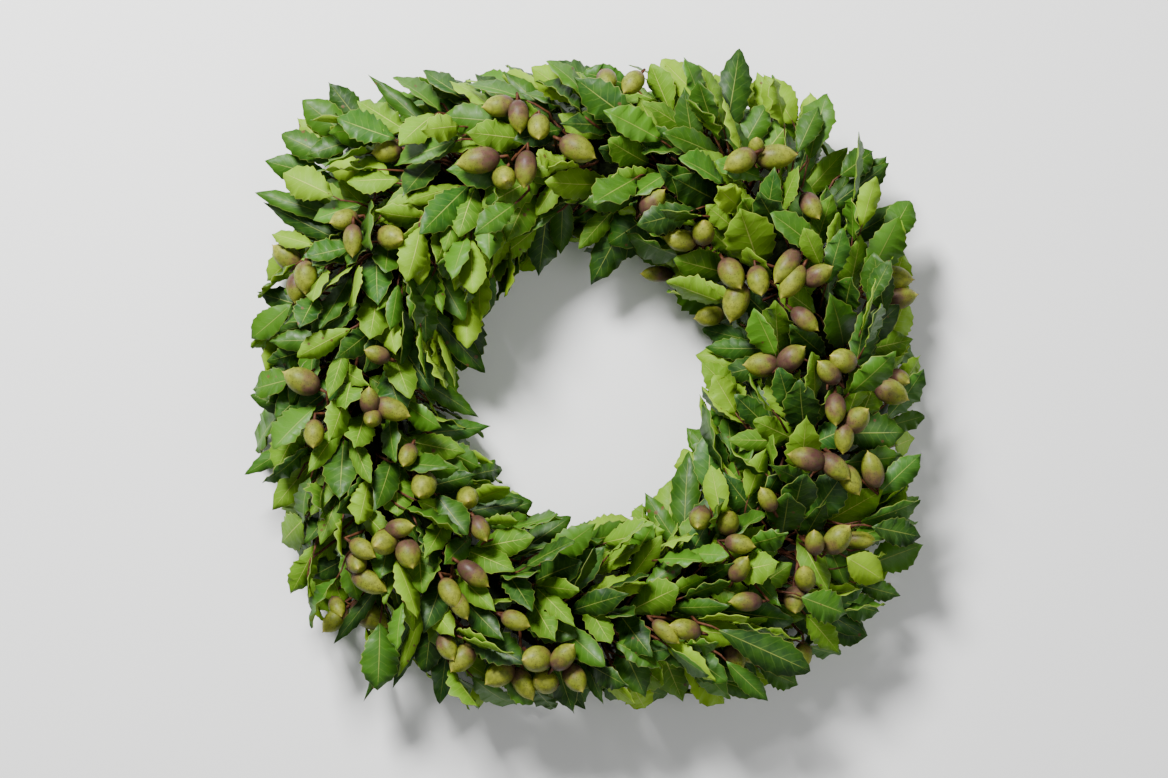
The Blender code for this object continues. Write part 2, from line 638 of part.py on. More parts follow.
def make_binding_wire():
    obj = fuse("binding_wire", [tube_along(wire_route(), WIRE_RADIUS, WIRE_SIDES)])
    paint(obj, "lacquered binding wire", BINDING_GREEN, 0.4, 0.6)
    return obj


def make_bunch(index, grower):
    blades = [blade_mesh(leaf) for leaf in grower.leaves if leaf.bunch == index]
    obj = fuse("bunch_%02d" % (index + 1), [grower.core_solids[index]] + blades)
    paint(obj, "leaves %02d" % (index + 1), LEAF_GREEN, 0.5)
    return obj


def make_cluster(index, grower):
    obj = fuse("nut_cluster_%02d" % (index + 1), grower.clusters[index], "MANIFOLD")
    paint(obj, "nuts %02d" % (index + 1), NUT_BROWN, 0.4)
    return obj


def centre_over_origin(objects):
    """Hangs every node on one empty that brings the middle of the whole to x = y = 0."""
    corners = [vertex.co for obj in objects for vertex in obj.data.vertices]
    low = Vector([min(corner[axis] for corner in corners) for axis in range(3)])
    high = Vector([max(corner[axis] for corner in corners) for axis in range(3)])
    holder = bpy.data.objects.new("wreath", None)
    holder.location = (-(low.x + high.x) / 2, -(low.y + high.y) / 2, -low.z)
    bpy.context.scene.collection.objects.link(holder)
    for obj in objects:
        obj.parent = holder


def main():
    for obj in list(bpy.data.objects):
        bpy.data.objects.remove(obj, do_unlink=True)
    grower = Grower()
    grower.grow()
    objects = [make_ring_frame(), make_binding_wire()]
    objects += [make_bunch(index, grower) for index in range(BUNCH_COUNT)]
    objects += [make_cluster(index, grower) for index in range(len(NUT_CLUSTERS))]
    centre_over_origin(objects)
    return grower, objects


if __name__ == "__main__":
    main()
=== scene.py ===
"""Looks of a leaf and nut wreath that lies on its back, seen from above.

The first half repeats the solids' own growth rule, so that every large leaf and every nut of the
looks stands where its solid stands; the second half gives them their real shapes and finishes,
and adds the smaller leaves, twigs, stems and wires. Lengths are in metres unless a comment says mm.
"""

import math
import random

import bpy
import numpy as np
from mathutils import Matrix, Vector
from mathutils.bvhtree import BVHTree


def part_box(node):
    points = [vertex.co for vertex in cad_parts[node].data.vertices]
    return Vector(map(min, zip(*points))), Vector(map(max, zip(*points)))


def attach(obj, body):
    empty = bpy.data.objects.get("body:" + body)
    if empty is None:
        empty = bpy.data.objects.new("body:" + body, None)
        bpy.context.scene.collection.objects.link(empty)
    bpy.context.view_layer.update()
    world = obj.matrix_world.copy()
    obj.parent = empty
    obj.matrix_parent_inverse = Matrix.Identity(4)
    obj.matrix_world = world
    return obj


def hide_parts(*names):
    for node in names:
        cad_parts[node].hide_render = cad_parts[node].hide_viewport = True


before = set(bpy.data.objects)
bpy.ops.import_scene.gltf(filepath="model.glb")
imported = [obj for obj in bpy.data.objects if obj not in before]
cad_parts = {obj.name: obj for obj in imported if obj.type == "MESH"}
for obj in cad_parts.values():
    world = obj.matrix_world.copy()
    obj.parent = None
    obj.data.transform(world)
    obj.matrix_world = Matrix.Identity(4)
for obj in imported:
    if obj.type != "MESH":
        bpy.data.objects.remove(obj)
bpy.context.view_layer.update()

MM = 0.001
UP = Vector((0, 0, 1))
GAP = 0.35 * MM

# Ring frame
RING_RADIUS = 163 * MM
RAIL_RADII = (155 * MM, 171 * MM)
RAIL_WIRE_RADIUS = 1.45 * MM
RAIL_MIDDLE = 4.5 * MM
BAR_COUNT = 8
BAR_REACH = (152 * MM, 174 * MM)
BAR_WIDTH = 5 * MM
BAR_THICKNESS = 3.6 * MM
BAR_OFFSET = 0.6

# Bunches, as in the solids
BUNCH_COUNT = 16
BUNCH_STEP = math.tau / BUNCH_COUNT
CORE_FLOOR = 6.35 * MM
CORE_SIDES = 10
CORE_MIDDLE = 42 * MM
CORE_RADIUS = 37 * MM
FOOT_RADIUS = 10.2 * MM
FOOT_LENGTH = 9.5 * MM
CORE_PROFILE = (
    (0.2 * MM, FOOT_RADIUS, CORE_FLOOR + FOOT_RADIUS),
    (FOOT_LENGTH, FOOT_RADIUS, CORE_FLOOR + FOOT_RADIUS),
    (15 * MM, 31 * MM, CORE_MIDDLE),
    (38 * MM, CORE_RADIUS, CORE_MIDDLE),
    (63.6 * MM, 33 * MM, CORE_MIDDLE),
)

# Binding wire, as in the solids
WIRE_RADIUS = 0.6 * MM
WIRE_HEIGHT = 5.0 * MM
WIRE_UNDER = 1.8 * MM
WIRE_UNDER_REACH = (5.2 * MM, 11.7 * MM)
WIRE_TURN_RADIUS = 12.9 * MM
WIRE_TURN_ANGLES = (0, 60, 120, 180)
WIRE_TURN_START = 2.0 * MM
WIRE_TURN_END = 8.0 * MM

# Large leaves, as in the solids; of the rows' leaves the sweep and rise are in degrees, the length
# in mm and the shape is the width as a share of the length
BLADE_THICKNESS = 0.8 * MM
BLADE_FACES = ((0, 1, 4), (1, 2, 4), (2, 3, 4), (0, 4, 7), (4, 6, 7), (4, 5, 6))
ROOT_DEPTH = 4.5 * MM
TIP_REACH = 68 * MM
SHOW_MIN_LENGTH = 42 * MM
SHOW_SIDE = 0.96 * CORE_RADIUS
TOOTH_ROWS = ((0.44, 1.0), (0.57, 0.80), (0.76, 1.16))
ROWS = (76, 104, 44, 136, 12, 168, -16, 196)
ROW_SPACING = 104 * MM
ROW_SWEEP = (-60, 60)
ROW_RISE = (14, 50)
ROW_LENGTH = (40, 58)
ROW_SHAPE = (0.38, 0.56)
ROW_TONES = "LMMDD"
SHOOT_ZONE = (math.radians(6.6), math.radians(20.8))
LEAF_TRIES = 60
LEAF_FLOOR = 2.5 * MM
HOLE_RADIUS = 71 * MM
REACH_RADIUS = 280 * MM
SEED = 1

# Nuts, as in the solids
NUT_REACH = 62 * MM
NUT_SIDES = 5
NUT_PROFILE = ((-0.36, 0.70), (-0.04, 1.04), (0.28, 0.68))
STALK_RADIUS = 1.5 * MM
FOOT_RADIUS_OF_STALK = 2.0 * MM
STALK_ZONE = (math.radians(7.5), math.radians(20.5))

# A leaf's length times this reaches all of it from its middle
LEAF_SPAN = 0.6

# Smaller leaves that only the looks have: how many and how often each is tried, how deep and how
# far round the tube of foliage a foot may lie, and the hole, rim and height that all of it keeps to
FILL_COUNT = 4200
FILL_TRIES = 7
FILL_DEPTHS = (32 * MM, 57 * MM)
FILL_TURNS = (-58, 238)
FILL_HOLE = (75 * MM, 92 * MM)
FILL_REACH = (240 * MM, 232 * MM)
FILL_CEILING = 121 * MM
FILL_SQUARENESS = 3.3

# How a small leaf lies, in degrees: how closely its sweep follows the turn round the tube, the
# sweep's spread and limit, and the greatest rise with what the inner side and the later leaves
# add. Then its length in mm, its width as a share of that, and how often each tone is drawn
FILL_COMB = 0.38
FILL_SWEEP = (30, 78)
FILL_RISE = (46, 18, 10)
FILL_LENGTH = (34, 56)
FILL_SHAPE = (0.4, 0.62)
FILL_TONES = "LLLMMMDD"

# Corners of the squarish outline: the share of small leaves that is drawn there, how widely they
# spread in radians, and how much further out their feet may lie
CORNER_SHARE = 0.22
CORNER_SPREAD = 0.22
CORNER_BULGE = 28 * MM

# Leaves at the rim: distance from the tube's middle, and how far a tip may lie below its foot
EDGE_REACH = 70 * MM
EDGE_DROP = 14 * MM

# One real blade: teeth on each side, how far they stand out and in as shares of the half width,
# how far each leans to the tip, where the drawing in to the tip starts, and the share of the width
# that it takes there, with how much less on a blunt leaf
TOOTH_COUNT = 8
TOOTH_SIZE = (0.05, 0.125)
TOOTH_NOTCH = 0.55
TOOTH_LEAN = 0.4
POINT_START = 0.75
POINT_LOSS = (0.85, 0.6)
REAL_THICKNESS = 0.45 * MM
RIPPLE_TURNS = (16, 26)
RIPPLE_HEIGHT = (0.4 * MM, 2.0 * MM)
TIP_DROOP = (-0.02, 0.05)
TIP_TWIST = 0.25
TIP_BEND = 0.04
VEIN_COUNT = 9.0
LEAF_PATCH = 9 * MM

# How dark a leaf is: by the side that shows, and, as painted shade, more the nearer its foot
# lies to the tube's middle, from the second of these distances down to the first
TONES = {"L": 0.3, "M": 0.2, "D": 0.8}
SHADE_DEPTHS = (34 * MM, 48 * MM)
INNER_SHADE = 0.6

# Gathered stems and dark middle of a bunch: place along the ring, reach and height in mm
GOLDEN_ANGLE = 2.39996
STEM_COUNT = 19
STEM_RADII = (1.0, 1.0, 0.9, 0.75, 0.5)
STEM_ROUTE = ((-3, 8.0, 16.55), (9, 8.2, 16.55), (24, 17, 32), (44, 25, 40), (70, 30, 42))
STEM_FLOOR = 8.25
HEART_SIDES = 12
HEART_RINGS = ((4, 5, 17), (16, 19, 34), (34, 26, 40), (58, 26, 41), (74, 20, 40))
HEART_FLOOR = 8.0

# Skin of a nut, from the stalk to the point; the specks are drawn coarser than real ones, to show.
# The spine at the tip is a share of the nut's length
NUT_COLOURS = (
    (0.12, "4a302a"), (0.34, "5c4433"), (0.5, "69602a"), (0.7, "6b741f"), (1.0, "82872a"))
NUT_SPECK = 1.6 * MM
NUT_SPINE = 0.045

# Camera, from the photograph's scale and frame: straight above, a few pixels off the middle
IMAGE_WIDTH = 1168
MM_PER_PIXEL = 0.70
SENSOR_WIDTH = 36
CAMERA_DISTANCE = 2.2
CAMERA_SHIFT = Vector((-4, -4, 0))
VIEW_HEIGHT = 75 * MM

# Studio light: strength of the pale surround, and each lamp's name, place, side and watts
SURROUND = 0.24
LAMPS = (("key", (-0.6, 1.2, 1.5), 0.5, 104), ("fill", (0.9, -0.5, 1.9), 1.2, 10))
FLOOR_SIDE = 8
FLOOR_DROP = 0.3 * MM

# Leaves that show best, bunch by bunch: foot x, y and tip x, y in mm, width in mm, and which
# side shows and how dark it is (L pale underside, M mid green, D dark upper side)
SHOW_LEAVES = (
    (201, 74, 190, 104, 24, "L"), (188, 26, 167, 63, 25, "M"), (198, 8, 231, 33, 22, "L"),
    (128, 23, 131, 57, 24, "L"), (118, 24, 83, 25, 15, "M"), (115, 27, 81, 39, 15, "D"),
    (138, 0, 93, 8, 17, "D"),
    (92, 74, 60, 89, 25, "L"), (156, 149, 158, 182, 17, "D"), (156, 136, 185, 169, 17, "L"),
    (190, 110, 185, 153, 18, "M"), (163, 90, 172, 133, 17, "L"), (120, 77, 105, 121, 35, "L"),
    (199, 105, 227, 129, 17, "D"), (193, 141, 213, 159, 13, "D"),
    (83, 178, 41, 198, 19, "L"), (100, 162, 52, 176, 21, "M"), (90, 127, 57, 142, 27, "D"),
    (98, 173, 107, 240, 24, "D"), (105, 176, 110, 223, 14, "L"), (110, 166, 127, 201, 20, "M"),
    (132, 172, 150, 195, 22, "L"), (127, 127, 131, 150, 17, "M"),
    (9, 185, -18, 179, 18, "D"), (18, 137, -30, 138, 22, "L"), (15, 116, -8, 97, 15, "L"),
    (32, 104, 0, 72, 24, "D"), (41, 155, 13, 167, 21, "L"),
    (-75, 192, -117, 203, 15, "M"), (-41, 174, -83, 174, 22, "L"), (-34, 206, -60, 223, 14, "M"),
    (-41, 135, -55, 99, 25, "L"), (-5, 124, -19, 93, 17, "M"), (-27, 108, -36, 77, 25, "D"),
    (-117, 205, -155, 223, 13, "M"), (-111, 186, -146, 190, 13, "M"),
    (-113, 168, -128, 131, 22, "D"), (-93, 140, -127, 128, 12, "L"),
    (-82, 139, -117, 104, 22, "M"), (-88, 130, -98, 93, 13, "L"), (-73, 138, -90, 103, 22, "L"),
    (-174, 162, -208, 191, 21, "L"), (-172, 130, -212, 148, 21, "L"),
    (-144, 118, -177, 143, 15, "L"), (-181, 129, -236, 138, 15, "M"),
    (-177, 125, -210, 108, 13, "M"), (-206, 118, -232, 129, 14, "D"),
    (-149, 92, -147, 56, 23, "D"), (-114, 76, -145, 51, 10, "L"), (-103, 75, -100, 49, 13, "L"),
    (-89, 77, -87, 45, 18, "M"),
    (-212, 64, -236, 64, 20, "D"), (-176, 72, -184, 40, 17, "M"), (-147, 55, -151, 31, 22, "L"),
    (-133, 26, -125, -10, 21, "L"), (-174, 16, -178, -9, 13, "L"), (-170, 8, -152, 1, 14, "L"),
    (-158, 32, -173, 17, 18, "D"), (-194, 33, -224, 32, 15, "M"), (-107, 9, -76, -21, 14, "M"),
    (-87, 36, -72, 9, 17, "D"),
    (-158, -23, -161, -42, 21, "L"), (-181, -36, -196, -62, 14, "L"),
    (-174, -40, -172, -79, 25, "M"), (-164, -42, -151, -69, 13, "L"),
    (-136, -56, -145, -88, 19, "M"), (-120, -39, -86, -49, 18, "L"),
    (-102, -31, -69, -30, 15, "M"), (-216, -31, -243, -65, 13, "M"),
    (-208, -57, -225, -88, 21, "L"), (-207, -21, -241, -9, 15, "M"),
    (-107, -68, -78, -63, 15, "D"), (-180, -86, -186, -112, 17, "L"),
    (-203, -93, -195, -127, 20, "L"), (-169, -121, -197, -138, 18, "M"),
    (-139, -120, -140, -153, 8, "L"), (-168, -165, -179, -184, 11, "M"),
    (-98, -102, -110, -119, 17, "L"), (-85, -100, -98, -121, 17, "M"),
    (-120, -145, -133, -208, 10, "L"), (-103, -136, -114, -172, 20, "D"),
    (-115, -172, -116, -204, 22, "D"), (-147, -179, -161, -224, 10, "M"),
    (-135, -179, -140, -216, 13, "D"), (-107, -199, -106, -228, 17, "D"),
    (-80, -86, -45, -84, 15, "D"), (-74, -109, -38, -105, 20, "L"),
    (-77, -116, -51, -129, 20, "L"), (-79, -141, -63, -155, 17, "L"),
    (-77, -160, -58, -176, 18, "M"),
    (-39, -127, -4, -121, 24, "D"), (-39, -109, -11, -94, 18, "M"), (-3, -125, 36, -112, 15, "L"),
    (-39, -133, -9, -165, 14, "L"), (-30, -135, -6, -143, 15, "L"), (-52, -131, -37, -156, 18, "D"),
    (-33, -162, -22, -176, 21, "L"), (-27, -209, -3, -231, 14, "D"), (-7, -179, 13, -193, 18, "M"),
    (5, -151, 28, -143, 18, "D"), (3, -156, 14, -179, 17, "L"), (28, -160, 62, -139, 24, "L"),
    (34, -125, 52, -106, 15, "L"), (23, -163, 45, -186, 21, "D"), (17, -184, 41, -218, 24, "M"),
    (52, -186, 67, -226, 27, "L"), (5, -207, 11, -224, 11, "M"),
    (51, -104, 71, -47, 21, "M"), (50, -103, 39, -77, 15, "M"), (81, -117, 102, -98, 21, "L"),
    (74, -137, 100, -122, 11, "D"), (115, -133, 135, -153, 15, "M"),
    (141, -177, 153, -161, 14, "L"), (155, -167, 174, -186, 15, "M"),
    (87, -166, 155, -198, 18, "D"), (70, -156, 98, -152, 13, "M"), (86, -183, 124, -221, 13, "M"),
    (104, -200, 145, -208, 14, "D"),
    (154, -68, 126, -54, 14, "M"), (109, -90, 93, -62, 21, "D"), (186, -104, 207, -73, 24, "L"),
    (135, -101, 139, -76, 27, "M"), (157, -121, 168, -148, 21, "L"),
    (174, -119, 183, -146, 20, "M"), (154, -152, 179, -156, 18, "M"),
    (186, -123, 208, -136, 15, "L"), (201, -125, 238, -114, 15, "M"),
    (201, -121, 233, -103, 13, "D"), (167, -167, 198, -178, 18, "D"),
    (161, -101, 165, -81, 17, "M"),
    (148, -24, 144, 2, 25, "M"), (151, -42, 150, -22, 24, "L"), (183, -35, 222, -34, 27, "M"),
    (138, -37, 115, -24, 18, "L"), (133, -40, 98, -37, 15, "L"), (135, -43, 78, -38, 14, "M"),
    (131, -46, 89, -52, 17, "M"), (117, -31, 102, -7, 17, "D"),
)

# Nut clusters: each nut's middle x, y in mm, the way it points and how far its tip is raised in
# degrees, its length and its width in mm
NUT_CLUSTERS = (
    ((-62, 194, 185, 15, 24, 16), (-48, 186, 275, 10, 24, 15), (-34, 178, 270, 40, 22, 16)),
    ((-76, 155, 190, 5, 31, 19), (-58, 143, 300, 75, 24, 17), (-43, 149, 265, 10, 27, 16)),
    ((-7, 163, 332, 10, 28, 19),),
    ((-141, 164, 190, 20, 22, 17),),
    ((-170, 115, 195, 30, 22, 15), (-163, 100, 270, 15, 24, 14)),
    ((-136, 102, 345, 45, 24, 17),),
    ((-214, 91, 140, 10, 26, 17), (-197, 75, 270, 10, 24, 17)),
    ((-151, -11, 90, 30, 22, 14), (-136, -17, 340, 10, 28, 16)),
    ((-199, 3, 155, 5, 28, 19), (-190, -34, 270, 30, 22, 15)),
    ((-125, -49, 250, 40, 20, 13), (-114, -70, 250, 50, 24, 18)),
    ((-84, -79, 300, 80, 24, 16), (-75, -100, 300, 30, 22, 14)),
    ((-141, -109, 200, 60, 24, 18), (-124, -117, 290, 35, 24, 18)),
    ((-161, -124, 300, 70, 22, 15), (-152, -137, 332, 10, 28, 16)),
    ((-155, -164, 330, 10, 31, 19), (-180, -167, 225, 15, 24, 15)),
    ((-79, -131, 322, 10, 27, 15), (-95, -144, 300, 20, 24, 15), (-89, -152, 300, 15, 24, 13)),
    ((-50, -163, 340, 15, 22, 14),),
    ((-98, -183, 300, 30, 22, 14), (-88, -191, 230, 15, 24, 17)),
    ((-62, -202, 215, 15, 24, 18), (-45, -209, 300, 10, 26, 15), (-30, -207, 160, 50, 22, 17)),
    ((-36, -190, 180, 40, 24, 19), (-17, -188, 50, 20, 24, 16), (-9, -204, 300, 30, 24, 16)),
    ((54, -171, 320, 10, 24, 12), (67, -169, 165, 15, 24, 15)),
    ((78, -93, 250, 55, 22, 16), (97, -95, 90, 50, 22, 16)),
    ((105, -110, 350, 15, 22, 14), (109, -150, 180, 15, 24, 14)),
    ((103, -190, 300, 20, 22, 14), (115, -189, 180, 20, 22, 14)),
    ((151, -134, 100, 40, 22, 15), (144, -150, 270, 40, 22, 16)),
    ((157, -109, 95, 30, 20, 14), (174, -107, 50, 20, 26, 18)),
    ((151, -51, 167, 5, 27, 17), (171, -57, 320, 15, 26, 16), (182, -66, 300, 10, 24, 15),
     (198, -59, 105, 10, 27, 16)),
    ((171, -17, 270, 20, 24, 15), (186, -24, 45, 30, 24, 17), (177, -37, 265, 10, 22, 14)),
    ((212, -5, 335, 10, 26, 18),),
    ((121, 14, 180, 5, 26, 18), (141, 19, 40, 15, 24, 17)),
    ((176, 17, 160, 30, 22, 17), (166, 9, 135, 20, 22, 15)),
    ((218, 76, 355, 5, 27, 18), (221, 62, 10, 5, 27, 17)),
    ((137, 82, 235, 15, 30, 15), (141, 71, 235, 10, 28, 16), (118, 72, 280, 30, 24, 16),
     (159, 76, 30, 20, 24, 15), (150, 45, 320, 15, 24, 14)),
    ((100, 77, 300, 25, 26, 18), (103, 58, 255, 5, 30, 19), (86, 49, 190, 10, 22, 15)),
    ((49, 79, 180, 10, 24, 12), (64, 101, 170, 15, 24, 16), (80, 106, 90, 50, 22, 16)),
    ((155, 124, 300, 30, 24, 15),),
    ((105, 155, 208, 5, 25, 17), (131, 159, 5, 5, 30, 18)),
    ((13, 213, 280, 60, 22, 15), (31, 211, 230, 30, 22, 15)),
    ((45, 127, 45, 20, 24, 15),),
)

# Nuts that are too small or too deep for the solids, in the same terms
SMALL_NUTS = (
    (-149, -23, 240, 70, 20, 13), (-178, -158, 300, 45, 20, 12), (124, -79, 120, 20, 20, 13),
    (219, 5, 330, 40, 18, 12), (117, 165, 90, 50, 20, 12), (-204, 68, 265, 5, 22, 15),
    (-156, -114, 330, 20, 22, 14), (-130, -99, 10, 20, 22, 14), (105, -127, 60, 25, 22, 14),
    (191, -109, 0, 10, 24, 13), (153, -192, 270, 20, 20, 13), (-146, 21, 160, 30, 20, 13),
)

# Leaves at the rim that lie beyond the solids, in the same terms as the large leaves
EDGE_LEAVES = (
    (-174, 160, -207, 190, 25, "L"), (-166, 172, -202, 204, 24, "M"),
    (-182, 148, -230, 158, 20, "D"), (-160, 184, -184, 216, 20, "D"),
    (-178, 132, -214, 150, 24, "L"), (-172, 156, -218, 178, 20, "D"),
    (90, -169, 155, -198, 25, "D"), (96, -192, 126, -222, 14, "M"), (122, -201, 150, -212, 18, "D"),
    (165, -168, 199, -177, 24, "D"), (152, -160, 177, -187, 18, "L"),
    (148, -147, 181, -160, 23, "M"), (175, -152, 208, -161, 20, "D"),
    (180, -120, 208, -136, 23, "L"), (199, -128, 238, -112, 25, "M"),
    (198, -99, 234, -106, 20, "D"), (190, -141, 222, -150, 15, "D"), (190, 136, 213, 162, 19, "D"),
    (209, 98, 229, 131, 22, "D"), (178, 148, 203, 166, 20, "D"), (146, 162, 161, 196, 17, "D"),
)


def ring_axes(angle):
    """The ways outward and along the ring at one angle."""
    outward = Vector((math.cos(angle), math.sin(angle), 0))
    along = Vector((-math.sin(angle), math.cos(angle), 0))
    return outward, along


def tube_normal(angle, turn):
    """The way out of the tube of foliage; turn 0 points outward and 90 degrees up."""
    outward, _ = ring_axes(angle)
    return outward * math.cos(turn) + UP * math.sin(turn)


def tube_middle(angle):
    outward, _ = ring_axes(angle)
    return outward * RING_RADIUS + UP * CORE_MIDDLE


def reach_height(x, y, reach):
    """Height of the tube's surface at a place in plan, for one reach from the tube's middle."""
    offset = math.hypot(x, y) - RING_RADIUS
    return CORE_MIDDLE + math.sqrt(max(reach * reach - offset * offset, 0))


def loft(rings, start=None, end=None):
    """Vertices and triangles of a closed solid through rings, with flat or pointed ends."""
    sides = len(rings[0])
    verts = [point for ring in rings for point in ring]
    faces = []
    for row in range(len(rings) - 1):
        for side in range(sides):
            a = row * sides + side
            b = row * sides + (side + 1) % sides
            faces += [(a, b, b + sides), (a, b + sides, a + sides)]
    last = (len(rings) - 1) * sides
    if start is None:
        faces += [(0, side + 1, side) for side in range(1, sides - 1)]
    else:
        verts.append(start)
        faces += [(len(verts) - 1, (side + 1) % sides, side) for side in range(sides)]
    if end is None:
        faces += [(last, last + side, last + side + 1) for side in range(1, sides - 1)]
    else:
        verts.append(end)
        faces += [(last + side, last + (side + 1) % sides, len(verts) - 1) for side in range(sides)]
    return verts, faces


def core_mesh(index):
    """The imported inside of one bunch: a foot on the rails, then a head with a flat back."""
    rings = []
    for distance, radius, height in CORE_PROFILE:
        angle = index * BUNCH_STEP + distance / RING_RADIUS
        outward, _ = ring_axes(angle)
        ring = []
        for side in range(CORE_SIDES):
            turn = -math.tau * (side + 0.5) / CORE_SIDES
            point = outward * (RING_RADIUS + radius * math.cos(turn))
            point += UP * max(height + radius * math.sin(turn), CORE_FLOOR)
            ring.append(point)
        rings.append(ring)
    return loft(rings)


class Leaf:
    """One blade: where it starts, the ways it points and faces, its size, and its own bends.

    A leaf that shows its pale underside lies with its keel up.
    """

    def __init__(self, bunch, root, heading, face, length, width, tone, draw):
        self.bunch = bunch
        self.root = root
        self.heading = heading.normalized()
        self.face = (face - self.heading * face.dot(self.heading)).normalized()
        self.side = self.heading.cross(self.face)
        self.length = length
        self.width = width
        self.middle = root + self.heading * length / 2
        self.tone = tone
        self.fold = draw.uniform(0.08, 0.42)
        if tone == "L":
            self.fold *= -0.6
        self.arch = draw.uniform(-0.02, 0.05)
        self.blunt = draw.uniform(0.0, 1.0)
        self.waves = tuple(draw.uniform(-1.1, 1.1) * MM for _ in range(6))

    def share(self, along):
        """Half width at a share of the length, as a share of the greatest half width."""
        swell = math.sin(math.pi * along ** (0.95 + 0.45 * self.blunt))
        return max(swell, 0.0) ** (0.9 - 0.3 * self.blunt)

    def point(self, along, across, lift=0.0):
        """A point of the blade; across is in metres from the crease."""
        rise = self.fold * abs(across) + self.arch * self.length * 4 * along * (1 - along) + lift
        flat = self.root + self.heading * (self.length * along) + self.side * across
        return flat + self.face * rise


def blade_mesh(leaf, grow=0.0):
    """A closed toothed blade, creased from root to tip and alike on both faces."""
    top = [leaf.point(0, 0, grow)]
    for hand in (1, -1):
        row = []
        for number, (along, share) in enumerate(TOOTH_ROWS):
            across = leaf.width / 2 * leaf.share(along) * share + grow
            wave = leaf.waves[number + (0 if hand > 0 else 3)]
            row.append(leaf.point(along, hand * across, wave + grow))
        if hand > 0:
            top += row + [leaf.point(1 + grow / leaf.length, 0, grow)]
        else:
            top += row[::-1]
    drop = leaf.face * (BLADE_THICKNESS + 2 * grow)
    verts = top + [point - drop for point in top]
    lower = len(top)
    faces = []
    for a, b, c in BLADE_FACES:
        faces += [(a, b, c), (a + lower, c + lower, b + lower)]
    for corner in range(lower):
        following = (corner + 1) % lower
        faces.append((corner, corner + lower, following + lower))
        faces.append((corner, following + lower, following))
    return verts, faces


def nut_mesh(nut, start, start_axis=None):
    """A closed pointed nut from its row of NUT_CLUSTERS, on the stalk that it grows from.

    The stalk starts as a flat end square to start_axis, or as a point inside a common foot.
    """
    length, width = nut[4] * MM, nut[5] * MM
    middle, axis, base = nut_middle(nut), nut_axis(nut), nut_base(nut)
    bend = ((base - start).normalized() + axis).normalized()
    rings = [aimed_ring(base, bend, STALK_RADIUS, axis)]
    if start_axis is not None:
        rings.insert(0, aimed_ring(start, start_axis, FOOT_RADIUS_OF_STALK, axis))
    for along, share in NUT_PROFILE:
        rings.append(aimed_ring(middle + axis * along * length, axis, share * width / 2, axis))
    return loft(rings, None if start_axis is not None else start, middle + axis * length / 2)


def nut_middle(nut):
    x, y = nut[0] * MM, nut[1] * MM
    return Vector((x, y, reach_height(x, y, NUT_REACH)))


def nut_axis(nut):
    heading, tilt = math.radians(nut[2]), math.radians(nut[3])
    flat = Vector((math.cos(heading), math.sin(heading), 0))
    return flat * math.cos(tilt) + UP * math.sin(tilt)


def aimed_ring(middle, axis, radius, guide):
    """A ring square to an axis whose corners keep their places from ring to ring."""
    spare = UP if abs(guide.z) < 0.7 else Vector((1, 0, 0))
    first = guide.cross(spare)
    first = (first - axis * first.dot(axis)).normalized()
    second = axis.cross(first)
    turns = [math.tau * side / NUT_SIDES for side in range(NUT_SIDES)]
    return [middle + (first * math.cos(t) + second * math.sin(t)) * radius for t in turns]


def mesh_tree(mesh):
    verts, faces = mesh
    return BVHTree.FromPolygons(verts, faces)


def bunch_of(angle):
    """The bunch whose head covers an angle."""
    return int((angle % math.tau) / BUNCH_STEP)


def leaf_heading(angle, turn, sweep, rise):
    """The way a leaf points: swept from the way along the ring, and raised off the tube."""
    outward, along = ring_axes(angle)
    across = UP * math.cos(turn) - outward * math.sin(turn)
    flat = (along * math.cos(sweep) + across * math.sin(sweep)) * math.cos(rise)
    return flat + tube_normal(angle, turn) * math.sin(rise)


def core_surface(cores, angle, turn, zone):
    """Bunch, point and face normal where a ray out of the tube's middle leaves the core.

    The angle is first drawn in to a zone of the bunch's head.
    """
    bunch = bunch_of(angle)
    start = bunch * BUNCH_STEP
    angle = start + min(max(angle % math.tau - start, zone[0]), zone[1])
    point, normal, _, _ = cores[bunch].ray_cast(tube_middle(angle), tube_normal(angle, turn))
    return bunch, point, normal


def nut_base(nut):
    return nut_middle(nut) - nut_axis(nut) * nut[4] * MM * 0.5


def cluster_place(nuts, cores):
    """The middle of a cluster's bases, and the point and normal of the core under it."""
    centre = sum((nut_base(nut) for nut in nuts), Vector()) / len(nuts)
    offset = math.hypot(centre.x, centre.y) - RING_RADIUS
    turn = math.atan2(centre.z - CORE_MIDDLE, offset)
    _, point, normal = core_surface(cores, math.atan2(centre.y, centre.x), turn, STALK_ZONE)
    return centre, point, normal


def cluster_meshes(nuts, cores):
    """The nuts of one cluster with their stalks, which start from a common foot."""
    centre, point, normal = cluster_place(nuts, cores)
    foot = point + normal * GAP
    if len(nuts) == 1:
        return [nut_mesh(nuts[0], foot, normal)]
    joint = foot + (centre - foot) * 0.6
    rise = (joint - foot).normalized()
    top = joint + rise * FOOT_RADIUS_OF_STALK
    rings = [aimed_ring(foot, normal, FOOT_RADIUS_OF_STALK, rise)]
    rings.append(aimed_ring(top, rise, FOOT_RADIUS_OF_STALK, rise))
    solids = [loft(rings)]
    for nut in nuts:
        solids.append(nut_mesh(nut, joint - rise * MM))
    return solids


